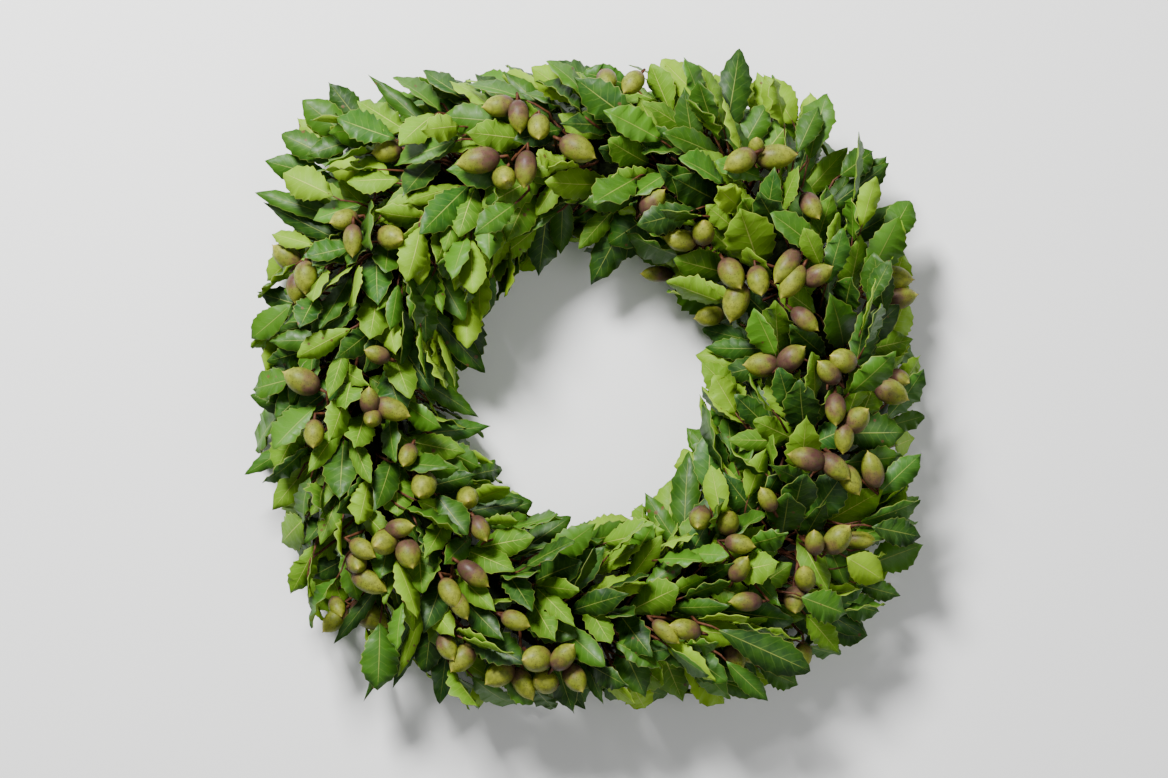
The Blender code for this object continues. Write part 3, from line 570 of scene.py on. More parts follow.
class Grower:
    """Places leaves one by one, each clear of the cores, nuts and leaves that it may not cross."""

    def __init__(self):
        self.cores = [mesh_tree(core_mesh(index)) for index in range(BUNCH_COUNT)]
        self.nut_trees = []
        for nuts in NUT_CLUSTERS:
            for verts, faces in cluster_meshes(nuts, self.cores):
                middle = sum(verts, Vector()) / len(verts)
                radius = max((point - middle).length for point in verts)
                self.nut_trees.append((middle, radius, mesh_tree((verts, faces))))
        self.leaves = []
        self.leaf_trees = []

    def clear(self, leaf):
        """True where the blade crosses nothing, with the gap that neighbours keep."""
        verts, faces = blade_mesh(leaf, GAP)
        for point in verts[1:]:
            reach = math.hypot(point.x, point.y)
            if point.z < LEAF_FLOOR or not HOLE_RADIUS < reach < REACH_RADIUS:
                return False
        tree = mesh_tree((verts, faces))
        if self.crosses(leaf, tree):
            return False
        for step in (-2, -1, 1, 2):
            if tree.overlap(self.cores[(leaf.bunch + step) % BUNCH_COUNT]):
                return False
        return True

    def crosses(self, leaf, tree):
        """True where the blade meets a nut or another leaf."""
        for other, radius, other_tree in self.nut_trees + self.leaf_trees:
            near = (other - leaf.middle).length < radius + leaf.length * LEAF_SPAN
            if near and tree.overlap(other_tree):
                return True
        return False

    def keep(self, leaf):
        self.leaves.append(leaf)
        tree = mesh_tree(blade_mesh(leaf))
        self.leaf_trees.append((leaf.middle, leaf.length * LEAF_SPAN, tree))

    def place_show_leaf(self, row, number):
        """A leaf read from its foot and tip in plan; small lifts and rolls are tried in turn."""
        foot_x, foot_y, tip_x, tip_y, width, tone = row
        draw = random.Random(SEED * 1000 + number)
        tip = Vector((tip_x, tip_y, 0)) * MM
        run = Vector((foot_x, foot_y, 0)) * MM - tip
        run *= max(run.length, SHOW_MIN_LENGTH) / run.length
        foot = tip + run
        reach = math.hypot(foot.x, foot.y)
        offset = min(max(reach - RING_RADIUS, -SHOW_SIDE), SHOW_SIDE)
        turn = math.acos(offset / CORE_RADIUS)
        angle = math.atan2(foot.y, foot.x)
        bunch, point, normal = core_surface(self.cores, angle, turn, SHOOT_ZONE)
        root = point - normal * ROOT_DEPTH
        for attempt in range(LEAF_TRIES):
            spread = attempt / LEAF_TRIES
            tip.z = reach_height(tip.x, tip.y, TIP_REACH) + draw.uniform(-22, 14) * spread * MM
            line = tip - root
            face = UP * 0.7 + tube_normal(angle, turn) * 0.3
            face += line.cross(UP).normalized() * draw.uniform(-0.7, 0.7) * spread
            leaf = Leaf(bunch, root, line, face, line.length, width * MM, tone, draw)
            if self.clear(leaf):
                self.keep(leaf)
                return

    def place_row_leaf(self, angle, turn, number):
        """A leaf of a row; random ways and sizes are drawn until one is clear."""
        draw = random.Random(SEED * 5000 + number)
        angle += draw.uniform(-0.02, 0.02)
        turn += math.radians(draw.uniform(-7, 7))
        bunch, point, normal = core_surface(self.cores, angle, turn, SHOOT_ZONE)
        root = point - normal * ROOT_DEPTH
        out_of_tube = tube_normal(angle, turn)
        for attempt in range(LEAF_TRIES):
            sweep = math.radians(draw.uniform(*ROW_SWEEP))
            rise = math.radians(draw.uniform(*ROW_RISE))
            heading = leaf_heading(angle, turn, sweep, rise)
            face = out_of_tube * 0.45 + UP * 0.55
            face += heading.cross(face).normalized() * draw.uniform(-0.45, 0.45)
            length = draw.uniform(*ROW_LENGTH) * MM
            width = length * draw.uniform(*ROW_SHAPE)
            tone = draw.choice(ROW_TONES)
            leaf = Leaf(bunch, root, heading, face, length, width, tone, draw)
            if self.clear(leaf):
                self.keep(leaf)
                return

    def grow(self):
        for number, row in enumerate(SHOW_LEAVES):
            self.place_show_leaf(row, number)
        self.read_count = len(self.leaves)
        number = 0
        for row, degrees in enumerate(ROWS):
            turn = math.radians(degrees)
            around = math.tau * (RING_RADIUS + CORE_RADIUS * math.cos(turn))
            count = round(around / ROW_SPACING)
            for place in range(count):
                number += 1
                angle = math.tau * (place + 0.5 * (row % 2)) / count
                self.place_row_leaf(angle, turn, number)


def wire_route():
    """Corner points of the binding wire, from bunch to bunch."""
    points = []
    middle = CORE_FLOOR + FOOT_RADIUS
    near, far = WIRE_UNDER_REACH
    corners = [(0, WIRE_HEIGHT), (near, WIRE_UNDER), (far, WIRE_UNDER)]
    for turn in map(math.radians, WIRE_TURN_ANGLES):
        corners.append((WIRE_TURN_RADIUS * math.cos(turn),
                        middle + WIRE_TURN_RADIUS * math.sin(turn)))
    corners += [(-far, WIRE_UNDER), (-near, WIRE_UNDER), (0, WIRE_HEIGHT)]
    for bunch in range(BUNCH_COUNT):
        for number, (offset, height) in enumerate(corners):
            share = number / (len(corners) - 1)
            distance = WIRE_TURN_START + (WIRE_TURN_END - WIRE_TURN_START) * share
            outward, _ = ring_axes(bunch * BUNCH_STEP + distance / RING_RADIUS)
            points.append(outward * (RING_RADIUS + offset) + UP * height)
    return points


class Crown(Grower):
    """The same leaves as the solids, then the smaller ones that fill the gaps."""

    def fits(self, leaf):
        """True where a small leaf keeps to its room, meets nothing and hides nothing read."""
        mesh = blade_mesh(leaf)
        verts, _ = mesh
        for point in verts[1:]:
            hole = math.hypot(point.x / FILL_HOLE[0], point.y / FILL_HOLE[1])
            rim = sum((abs(value) / reach) ** FILL_SQUARENESS
                      for value, reach in zip(point.xy, FILL_REACH))
            if not LEAF_FLOOR < point.z < FILL_CEILING or hole < 1 or rim > 1:
                return False
        return not self.crosses(leaf, mesh_tree(mesh)) and not self.covers(leaf)

    def covers(self, leaf):
        """True where the blade would hide a nut or the middle of a leaf that was read."""
        points = np.array([leaf.point(along, across * leaf.width / 2)
                           for along in (0.3, 0.5, 0.7, 0.9) for across in (-0.6, 0, 0.6)])
        apart = np.hypot(points[:, None, 0] - self.spots[:, 0],
                         points[:, None, 1] - self.spots[:, 1])
        above = points[:, None, 2] > self.spots[:, 2]
        return bool(np.any((apart < self.spots[:, 3]) & above))

    def keep_spots(self):
        """Places that stay in sight from above: x, y, height and radius."""
        spots = []
        for nuts in NUT_CLUSTERS + (SMALL_NUTS,):
            for nut in nuts:
                middle = nut_middle(nut)
                spots.append((middle.x, middle.y, middle.z - 3 * MM, nut[5] * 0.5 * MM))
                tip = middle + nut_axis(nut) * nut[4] * 0.3 * MM
                spots.append((tip.x, tip.y, tip.z - 3 * MM, nut[5] * 0.35 * MM))
        for leaf in self.leaves:
            if leaf.read:
                for along in (0.5, 0.78):
                    point = leaf.point(along, 0)
                    spots.append((point.x, point.y, point.z, leaf.width * 0.32))
        self.spots = np.array(spots)

    def place_edge_leaf(self, row, number):
        """A leaf read from its foot and tip in plan; lifts and rolls are tried in turn."""
        foot_x, foot_y, tip_x, tip_y, width, tone = row
        draw = random.Random(SEED * 7000 + number)
        bunch = bunch_of(math.atan2(foot_y, foot_x))
        for attempt in range(LEAF_TRIES):
            spread = attempt / LEAF_TRIES
            root = Vector((foot_x, foot_y, 0)) * MM
            tip = Vector((tip_x, tip_y, 0)) * MM
            root.z = reach_height(root.x, root.y, EDGE_REACH) + draw.uniform(-34, 16) * spread * MM
            tip.z = max(reach_height(tip.x, tip.y, EDGE_REACH), root.z - EDGE_DROP)
            line = tip - root
            face = UP + line.cross(UP).normalized() * draw.uniform(-0.7, 0.7) * spread
            leaf = Leaf(bunch, root, line, face, line.length, width * MM, tone, draw)
            if not self.crosses(leaf, mesh_tree(blade_mesh(leaf))):
                self.keep(leaf)
                return

    def place_fill_leaf(self, number):
        """A small leaf on a side twig, somewhere round the tube of foliage."""
        draw = random.Random(SEED * 9000 + number)
        angle = draw.uniform(0, math.tau)
        if draw.random() < CORNER_SHARE:
            angle = math.pi / 4 + math.pi / 2 * draw.randrange(4)
            angle += draw.gauss(0, CORNER_SPREAD)
        turn = math.radians(draw.uniform(*FILL_TURNS))
        share = number / FILL_COUNT
        depth = FILL_DEPTHS[1] + (FILL_DEPTHS[0] - FILL_DEPTHS[1]) * share
        depth += draw.uniform(-4, 4) * MM
        outward, _ = ring_axes(angle)
        out_of_tube = tube_normal(angle, turn)
        corner = (1 - math.cos(4 * angle)) / 2
        root = tube_middle(angle) + out_of_tube * depth
        root += outward * CORNER_BULGE * corner * max(math.cos(turn), 0) * draw.uniform(0, 1)
        if root.z < 8 * MM:
            return
        combed = (math.degrees(turn) - 90) * FILL_COMB
        steepest = FILL_RISE[0] + FILL_RISE[1] * max(-math.cos(turn), 0)
        for attempt in range(FILL_TRIES):
            swept = draw.gauss(combed, FILL_SWEEP[0])
            sweep = math.radians(min(max(swept, -FILL_SWEEP[1]), FILL_SWEEP[1]))
            rise = math.radians(draw.uniform(0, steepest) + FILL_RISE[2] * share)
            heading = leaf_heading(angle, turn, sweep, rise)
            face = out_of_tube * 0.6 + UP * 0.4
            roll = draw.choice((0.5, 1.1, 2.4)) * draw.uniform(-1, 1)
            face += heading.cross(face).normalized() * roll
            length = draw.uniform(*FILL_LENGTH) * MM
            width = length * draw.uniform(*FILL_SHAPE)
            tone = draw.choice(FILL_TONES)
            leaf = Leaf(bunch_of(angle), root, heading, face, length, width, tone, draw)
            leaf.fold *= draw.uniform(0.8, 2.2)
            if self.fits(leaf):
                self.keep(leaf)
                return

    def fill(self):
        for number, row in enumerate(EDGE_LEAVES):
            self.place_edge_leaf(row, number)
        for number, leaf in enumerate(self.leaves):
            leaf.read = number < self.read_count
        self.keep_spots()
        for number in range(FILL_COUNT):
            self.place_fill_leaf(number)


def deselect():
    if bpy.context.object and bpy.context.object.mode != "OBJECT":
        bpy.ops.object.mode_set(mode="OBJECT")
    bpy.ops.object.select_all(action="DESELECT")


def pick(kind, test):
    """Selects, in edit mode, only the vertices or edges of the active mesh that pass a test."""
    bpy.ops.mesh.select_all(action="DESELECT")
    bpy.ops.mesh.select_mode(type=kind)
    bpy.ops.object.mode_set(mode="OBJECT")
    mesh = bpy.context.object.data
    for item in (mesh.vertices if kind == "VERT" else mesh.edges):
        item.select = bool(test(mesh, item))
    bpy.ops.object.mode_set(mode="EDIT")


class BladePattern:
    """The one modelled blade, flat and of unit size, that every leaf is a bent copy of.

    x runs -1 to 1 across, y 0 to 1 from foot to tip, and z tells the upper face from the lower.
    """

    def __init__(self):
        rows = 2 * TOOTH_COUNT
        deselect()
        bpy.ops.mesh.primitive_grid_add(x_subdivisions=2, y_subdivisions=rows, size=2)
        blade = bpy.context.object
        for vertex in blade.data.vertices:
            vertex.co.y = (vertex.co.y + 1) / 2

        def row_of(vertex):
            return round(vertex.co.y * rows)

        def is_spare_rung(mesh, edge):
            a, b = (mesh.vertices[v] for v in edge.vertices)
            return row_of(a) == row_of(b) and row_of(a) % 2 == 1

        def is_spare_rib_point(mesh, vertex):
            return abs(vertex.co.x) < 0.01 and row_of(vertex) % 2 == 1

        bpy.ops.object.mode_set(mode="EDIT")
        pick("EDGE", is_spare_rung)
        bpy.ops.mesh.dissolve_edges(use_verts=False)
        pick("VERT", is_spare_rib_point)
        bpy.ops.mesh.dissolve_verts()
        for end in (0, rows):
            pick("VERT", lambda mesh, vertex: row_of(vertex) == end)
            bpy.ops.mesh.merge(type="CENTER")
        bpy.ops.mesh.select_all(action="SELECT")
        bpy.ops.mesh.quads_convert_to_tris()
        bpy.ops.object.mode_set(mode="OBJECT")
        for vertex in blade.data.vertices:
            if row_of(vertex) % 2 == 1:
                vertex.co.y += TOOTH_LEAN / rows
        skin = blade.modifiers.new("Thickness", "SOLIDIFY")
        skin.thickness = 0.1
        skin.offset = 0
        bpy.ops.object.modifier_apply(modifier=skin.name)
        mesh = blade.data
        self.points = np.array([vertex.co for vertex in mesh.vertices])
        self.faces = [tuple(face.vertices) for face in mesh.polygons]
        self.lower = np.array([face.normal.z < -0.5 for face in mesh.polygons])
        flat = np.concatenate([self.points[list(face)] for face in self.faces])
        self.uvs = np.stack([0.5 + 0.5 * flat[:, 0], flat[:, 1]], axis=1)
        self.across, self.along = self.points[:, 0], self.points[:, 1]
        self.skin = np.sign(self.points[:, 2]) * 0.5
        edge = np.abs(self.across) > 0.5
        odd = np.isclose((self.along * rows - TOOTH_LEAN) % 2, 1, atol=0.05)
        self.tooth = np.where(edge, np.where(odd, 1.0, -TOOTH_NOTCH), 0.0)
        bpy.data.objects.remove(blade, do_unlink=True)

    def bent(self, leaf, draw):
        """The blade's points bent to one leaf: folded, arched, waved along the edge and twisted."""
        swell = np.sin(np.pi * self.along ** (0.95 + 0.45 * leaf.blunt))
        half = leaf.width / 2 * np.maximum(swell, 0.0) ** (0.9 - 0.3 * leaf.blunt)
        point = np.clip((self.along - POINT_START) / (1 - POINT_START), 0.0, 1.0) ** 1.5
        half = half * (1 - (POINT_LOSS[0] - POINT_LOSS[1] * leaf.blunt) * point)
        half = half * (1 + draw.uniform(*TOOTH_SIZE) * self.tooth)
        reach = self.across * half
        stations = [0.0] + [row[0] for row in TOOTH_ROWS] + [1.0]
        first = np.interp(self.along, stations, [0.0, *leaf.waves[:3], 0.0])
        second = np.interp(self.along, stations, [0.0, *leaf.waves[3:], 0.0])
        wave = np.where(self.across > 0, first, second) * np.abs(self.across)
        ripple = self.along * draw.uniform(*RIPPLE_TURNS)
        ripple = ripple + np.sign(self.across) * draw.uniform(0, 3)
        wave = wave + np.sin(ripple) * np.abs(self.across) * draw.uniform(*RIPPLE_HEIGHT)
        rise = leaf.fold * np.abs(reach) * (1 - 0.3 * np.abs(self.across)) + wave
        rise = rise + leaf.arch * leaf.length * 4 * self.along * (1 - self.along)
        rise = rise - draw.uniform(*TIP_DROOP) * leaf.length * self.along ** 3
        twist = draw.uniform(-TIP_TWIST, TIP_TWIST) * self.along
        side = reach * np.cos(twist) - rise * np.sin(twist)
        side = side + draw.uniform(-TIP_BEND, TIP_BEND) * leaf.length * self.along ** 2
        lift = rise * np.cos(twist) + reach * np.sin(twist) + self.skin * REAL_THICKNESS
        return (np.array(leaf.root) + np.outer(self.along * leaf.length, leaf.heading)
                + np.outer(side, leaf.side) + np.outer(lift, leaf.face))


def tube_faces(count, sides):
    """Faces of a closed tube through a number of rings: its walls and its two ends."""
    faces = []
    for row in range(count - 1):
        for step in range(sides):
            a, b = row * sides + step, row * sides + (step + 1) % sides
            faces.append((a, b, b + sides, a + sides))
    last = (count - 1) * sides
    faces.append(tuple(range(sides - 1, -1, -1)))
    faces.append(tuple(range(last, last + sides)))
    return faces


def tube(points, radii, sides):
    """Points and faces of a closed tube along a route, its section carried along without twist."""
    points = [Vector(point) for point in points]
    rings = []
    side = None
    for number, point in enumerate(points):
        before = points[max(number - 1, 0)]
        after = points[min(number + 1, len(points) - 1)]
        axis = (after - before).normalized()
        side = axis.orthogonal() if side is None else side - axis * side.dot(axis)
        side.normalize()
        other = axis.cross(side)
        for step in range(sides):
            turn = math.tau * step / sides
            rings.append(point + (side * math.cos(turn) + other * math.sin(turn)) * radii[number])
    return rings, tube_faces(len(points), sides)


class Piece:
    """Gathers copies into one mesh, with a UV map, each copy's tint and each face's material."""

    def __init__(self, name, materials):
        self.name = name
        self.materials = materials
        self.points, self.faces, self.uvs, self.tints, self.slots = [], [], [], [], []
        self.count = 0

    def add(self, points, faces, slots, tint, uvs=None):
        self.points.append(np.array([tuple(point) for point in points]))
        self.faces += [tuple(corner + self.count for corner in face) for face in faces]
        corners = sum(len(face) for face in faces)
        self.uvs.append(np.zeros((corners, 2)) if uvs is None else uvs)
        self.tints.append(np.tile(tint, (len(points), 1)))
        self.slots += list(slots)
        self.count += len(points)

    def make(self):
        mesh = bpy.data.meshes.new(self.name)
        mesh.from_pydata(np.concatenate(self.points).tolist(), [], self.faces)
        for material in self.materials:
            mesh.materials.append(material)
        mesh.polygons.foreach_set("material_index", self.slots)
        mesh.polygons.foreach_set("use_smooth", [True] * len(self.faces))
        layer = mesh.uv_layers.new(name="growth")
        layer.data.foreach_set("uv", np.concatenate(self.uvs).ravel())
        tints = mesh.color_attributes.new("tint", "FLOAT_COLOR", "POINT")
        tints.data.foreach_set("color", np.concatenate(self.tints).ravel())
        obj = bpy.data.objects.new(self.name, mesh)
        bpy.context.scene.collection.objects.link(obj)
        return obj


def linear(text):
    """A linear colour from sRGB hex."""
    values = [int(text[place:place + 2], 16) / 255 for place in (0, 2, 4)]
    return [v / 12.92 if v <= 0.04045 else ((v + 0.055) / 1.055) ** 2.4 for v in values] + [1.0]


def start_material(name, roughness, **settings):
    """A new material and its shader, with the values that are the same all over."""
    material = bpy.data.materials.new(name)
    material.use_nodes = True
    shader = material.node_tree.nodes["Principled BSDF"]
    shader.inputs["Roughness"].default_value = roughness
    for key, value in settings.items():
        shader.inputs[key.replace("_", " ")].default_value = value
    return material, shader


def add(material, kind, inputs, output=0, **settings):
    """Adds one node with its settings and links, and gives one output. A text value is a colour."""
    made = material.node_tree.nodes.new(kind)
    for key, value in settings.items():
        setattr(made, key, value)
    for key, value in inputs.items():
        if isinstance(value, bpy.types.NodeSocket):
            material.node_tree.links.new(value, made.inputs[key])
        else:
            made.inputs[key].default_value = linear(value) if isinstance(value, str) else value
    return made.outputs[output]


def finish(material, shader, sockets):
    """Links patterns to the shader's inputs."""
    for key, value in sockets.items():
        material.node_tree.links.new(value, shader.inputs[key])


def paint(material, colour, layers):
    """Lays thin coats of colour over a ground, each given as where, how strongly and which."""
    for where, strength, coat in layers:
        share = add(material, "ShaderNodeMath", {0: where, 1: strength}, operation="MULTIPLY")
        colour = add(material, "ShaderNodeMix", {0: share, 6: colour, 7: coat}, 2, data_type="RGBA")
    return colour


def cloudy(material, place, size, span, detail=2.0, values=(0.0, 1.0)):
    """Soft clouds of one size, and where they are thick, spread over a range of values."""
    clouds = add(material, "ShaderNodeTexNoise", {
        "Vector": place, "Scale": 1 / size, "Detail": detail}, "Fac")
    thick = add(material, "ShaderNodeMapRange", {
        "Value": clouds, "From Min": span[0], "From Max": span[1],
        "To Min": values[0], "To Max": values[1]})
    return clouds, thick


def grainy(material, place, size, strength):
    """Fine low relief of one grain size."""
    grain = add(material, "ShaderNodeTexNoise", {
        "Vector": place, "Scale": 1 / size, "Detail": 3.0}, "Fac")
    return add(material, "ShaderNodeBump", {
        "Height": grain, "Strength": strength, "Distance": 0.3 * MM})


def leaf_ground(material):
    """What both sides of a leaf read: place on the blade and in space, tint, and paler patches."""
    uv = add(material, "ShaderNodeUVMap", {}, "UV", uv_map="growth")
    side, along, _ = add(material, "ShaderNodeSeparateXYZ", {0: uv}).node.outputs
    side = add(material, "ShaderNodeMath", {0: side, 1: 2.0, 2: -1.0}, operation="MULTIPLY_ADD")
    across = add(material, "ShaderNodeMath", {0: side}, operation="ABSOLUTE")
    tint = add(material, "ShaderNodeAttribute", {}, "Color", attribute_name="tint")
    # tone carries each leaf's side darkness with a random spread plus the painted shade of leaves
    # deep in the tube; shade and spots are drawn at random per leaf
    tone, shade, spots = add(material, "ShaderNodeSeparateColor", {0: tint}).node.outputs
    place = add(material, "ShaderNodeTexCoord", {}, "Object")
    _, pale = cloudy(material, place, LEAF_PATCH, (0.35, 0.7), 3.0)
    return across, along, tone, shade, spots, place, pale


def leaf_lines(material, across, along):
    """Masks of the midrib, of the side veins that leave it forward, and of the thin pale edge."""
    width = add(material, "ShaderNodeMapRange", {"Value": along, "To Min": 0.022, "To Max": 0.004})
    beyond = add(material, "ShaderNodeMath", {0: across, 1: width}, operation="SUBTRACT")
    rib = add(material, "ShaderNodeMapRange", {
        "Value": beyond, "From Max": 0.022, "To Min": 1.0, "To Max": 0.0})
    slant = add(material, "ShaderNodeMath", {
        0: across, 1: -0.17, 2: along}, operation="MULTIPLY_ADD")
    count = add(material, "ShaderNodeMath", {0: slant, 1: VEIN_COUNT}, operation="MULTIPLY")
    step = add(material, "ShaderNodeMath", {0: count, 1: 0.5}, operation="PINGPONG")
    line = add(material, "ShaderNodeMapRange", {
        "Value": step, "From Min": 0.02, "From Max": 0.09, "To Min": 1.0, "To Max": 0.0})
    fade = add(material, "ShaderNodeMapRange", {
        "Value": across, "From Min": 0.2, "From Max": 0.95, "To Min": 1.0, "To Max": 0.25})
    veins = add(material, "ShaderNodeMath", {0: line, 1: fade}, operation="MULTIPLY")
    edge = add(material, "ShaderNodeMapRange", {
        "Value": across, "From Min": 0.955, "From Max": 0.985})
    return rib, veins, edge


def dry_spots(material, spots, place):
    """Where a few small dry spots lie, on some of the leaves."""
    cells = add(material, "ShaderNodeTexVoronoi", {
        "Vector": place, "Scale": 1 / LEAF_PATCH}, "Distance")
    size = add(material, "ShaderNodeMapRange", {"Value": spots, "From Min": 0.7, "To Max": 0.16})
    beyond = add(material, "ShaderNodeMath", {0: cells, 1: size}, operation="SUBTRACT")
    inside = add(material, "ShaderNodeMapRange", {
        "Value": beyond, "From Max": 0.03, "To Min": 1.0, "To Max": 0.0})
    chosen = add(material, "ShaderNodeMapRange", {
        "Value": spots, "From Min": 0.7, "From Max": 0.72})
    return add(material, "ShaderNodeMath", {0: inside, 1: chosen}, operation="MULTIPLY")


def finish_leaf(material, shader, colour, rib, veins, place, strength, gloss):
    """Links colour, uneven gloss and the low relief of rib, veins and skin."""
    _, rough = cloudy(material, place, 4 * MM, (0.3, 0.7), values=gloss)
    grain = add(material, "ShaderNodeTexNoise", {"Vector": place, "Scale": 1 / (1.5 * MM)}, "Fac")
    height = add(material, "ShaderNodeMath", {0: veins, 1: 0.4, 2: rib}, operation="MULTIPLY_ADD")
    height = add(material, "ShaderNodeMath", {
        0: grain, 1: 0.35, 2: height}, operation="MULTIPLY_ADD")
    relief = add(material, "ShaderNodeBump", {
        "Height": height, "Strength": strength, "Distance": 0.4 * MM})
    finish(material, shader, {"Base Color": colour, "Roughness": rough, "Normal": relief})


def leathery_upper_side():
    """Waxed upper side of an evergreen leaf: deep green, a soft gloss, pale rib and edge."""
    material, shader = start_material("waxed upper side of a leaf", 0.5, Specular_IOR_Level=0.3)
    across, along, tone, shade, spots, place, pale = leaf_ground(material)
    rib, veins, edge = leaf_lines(material, across, along)
    deep = add(material, "ShaderNodeMapRange", {"Value": shade, "From Min": 0.6})
    # The dark green coat laid by tone is partly the leaf's own darker tone and partly painted shade
    # on leaves deep in the tube
    green = paint(material, linear("4a7a17"), (
        (tone, 1.0, "18390a"), (deep, 0.7, "1f4c14"), (pale, 0.4, "4a7616"),
        (veins, 0.35, "5f7d2c"), (rib, 0.7, "8f9a44"), (edge, 0.6, "868f40")))
    value = add(material, "ShaderNodeMapRange", {"Value": shade, "To Min": 0.8, "To Max": 1.15})
    green = add(material, "ShaderNodeHueSaturation", {"Value": value, "Color": green})
    green = paint(material, green, ((dry_spots(material, spots, place), 0.9, "5c4426"),))
    finish_leaf(material, shader, green, rib, veins, place, 0.3, (0.42, 0.6))
    return material


def matt_under_side():
    """Underside of an evergreen leaf: pale yellow green, dull, with raised rib and veins."""
    material, shader = start_material("matt underside of a leaf", 0.6, Specular_IOR_Level=0.2)
    across, along, tone, shade, spots, place, pale = leaf_ground(material)
    rib, veins, edge = leaf_lines(material, across, along)
    # The darker coat laid by tone is partly the leaf's own tone and partly painted shade on leaves
    # deep in the tube
    green = paint(material, linear("618d17"), (
        (shade, 1.0, "8cb01f"), (tone, 0.9, "3a6413"), (pale, 0.35, "719722"),
        (veins, 0.4, "8a9f44"), (rib, 0.8, "a9b354"), (edge, 0.6, "98a44a"),
        (dry_spots(material, spots, place), 0.9, "5c4426")))
    finish_leaf(material, shader, green, rib, veins, place, 0.45, (0.5, 0.7))
    return material


def nut_skin():
    """Skin of a fresh nut: purple brown at the stalk, yellow green at the point, finely specked."""
    material, shader = start_material("skin of a fresh nut", 0.5, Specular_IOR_Level=0.2)
    uv = add(material, "ShaderNodeUVMap", {}, "UV", uv_map="growth")
    _, along, _ = add(material, "ShaderNodeSeparateXYZ", {0: uv}).node.outputs
    tint = add(material, "ShaderNodeAttribute", {}, "Color", attribute_name="tint")
    green, _, _ = add(material, "ShaderNodeSeparateColor", {0: tint}).node.outputs
    place = add(material, "ShaderNodeTexCoord", {}, "Object")
    patches, rough = cloudy(material, place, 7 * MM, (0.3, 0.7), 4.0, (0.4, 0.6))
    ripe = add(material, "ShaderNodeMath", {
        0: patches, 1: 0.95, 2: along}, operation="MULTIPLY_ADD")
    ripe = add(material, "ShaderNodeMath", {0: green, 1: -0.55, 2: ripe}, operation="MULTIPLY_ADD")
    ripe = add(material, "ShaderNodeMath", {0: ripe, 1: 0.12}, operation="SUBTRACT")
    colour = add(material, "ShaderNodeValToRGB", {0: ripe})
    bar = colour.node.color_ramp
    while len(bar.elements) < len(NUT_COLOURS):
        bar.elements.new(0.5)
    for element, (position, text) in zip(bar.elements, NUT_COLOURS):
        element.position = position
        element.color = linear(text)
    _, mottle = cloudy(material, place, 3.2 * MM, (0.46, 0.62), 3.0)
    cells = add(material, "ShaderNodeTexVoronoi", {
        "Vector": place, "Scale": 1 / NUT_SPECK}, "Distance")
    specks = add(material, "ShaderNodeMapRange", {
        "Value": cells, "From Min": 0.12, "From Max": 0.3, "To Min": 1.0, "To Max": 0.0})
    point = add(material, "ShaderNodeMapRange", {"Value": along, "From Min": 0.9, "From Max": 0.99})
    colour = paint(material, colour, (
        (mottle, 0.38, "424a18"), (specks, 0.7, "38291f"), (point, 0.85, "a3983f")))
    relief = grainy(material, place, 1.2 * MM, 0.2)
    finish(material, shader, {"Base Color": colour, "Roughness": rough, "Normal": relief})
    return material


def twig_bark():
    """Bark of this year's twigs: thin, reddish brown, a little uneven along the twig."""
    material, shader = start_material("young reddish bark", 0.6, Specular_IOR_Level=0.2)
    place = add(material, "ShaderNodeTexCoord", {}, "Object")
    _, pale = cloudy(material, place, 3 * MM, (0.35, 0.65), 4.0)
    relief = grainy(material, place, 0.8 * MM, 0.4)
    colour = paint(material, linear("3e1f16"), ((pale, 1.0, "5e3a22"),))
    finish(material, shader, {"Base Color": colour, "Normal": relief})
    return material


def shaded_litter():
    """Packed inner leaves and stems, which no light reaches: very dark brown green as painted
    shade, dull.
    """
    material, shader = start_material("packed inner leaves in painted shade", 0.9, Specular_IOR_Level=0.05)
    place = add(material, "ShaderNodeTexCoord", {}, "Object")
    patches, pale = cloudy(material, place, 6 * MM, (0.35, 0.65), 4.0)
    relief = add(material, "ShaderNodeBump", {
        "Height": patches, "Strength": 0.8, "Distance": 3 * MM})
    # The near black brown green is painted shade for the inside of the bunch
    colour = paint(material, linear("090d05"), ((pale, 1.0, "181f0c"),))
    finish(material, shader, {"Base Color": colour, "Normal": relief})
    return material


def galvanised_wire():
    """Hot dipped zinc on steel: grey, dull, with faint darker clouds."""
    material, shader = start_material("galvanised steel wire", 0.45, Metallic=1.0)
    place = add(material, "ShaderNodeTexCoord", {}, "Object")
    clouds, dark = cloudy(material, place, 5 * MM, (0.35, 0.65), 3.0)
    rough = add(material, "ShaderNodeMapRange", {
        "Value": clouds, "From Min": 0.3, "From Max": 0.7, "To Min": 0.38, "To Max": 0.56})
    colour = paint(material, linear("8b8f90"), ((dark, 1.0, "6d7273"),))
    finish(material, shader, {"Base Color": colour, "Roughness": rough})
    return material


def green_lacquered_wire():
    """Florist's binding wire: soft iron under dark green lacquer, rubbed thin in places."""
    material, shader = start_material("green lacquered iron wire", 0.35, Coat_Weight=0.3)
    place = add(material, "ShaderNodeTexCoord", {}, "Object")
    _, rubbed = cloudy(material, place, 4 * MM, (0.62, 0.7), 4.0)
    colour = paint(material, linear("1e4a2b"), ((rubbed, 1.0, "4d5a50"),))
    finish(material, shader, {"Base Color": colour})
    return material


def pale_floor():
    """Plain matt paper."""
    material, shader = start_material("pale paper floor", 0.9)
    shader.inputs["Base Color"].default_value = linear("f7f7f6")
    return material


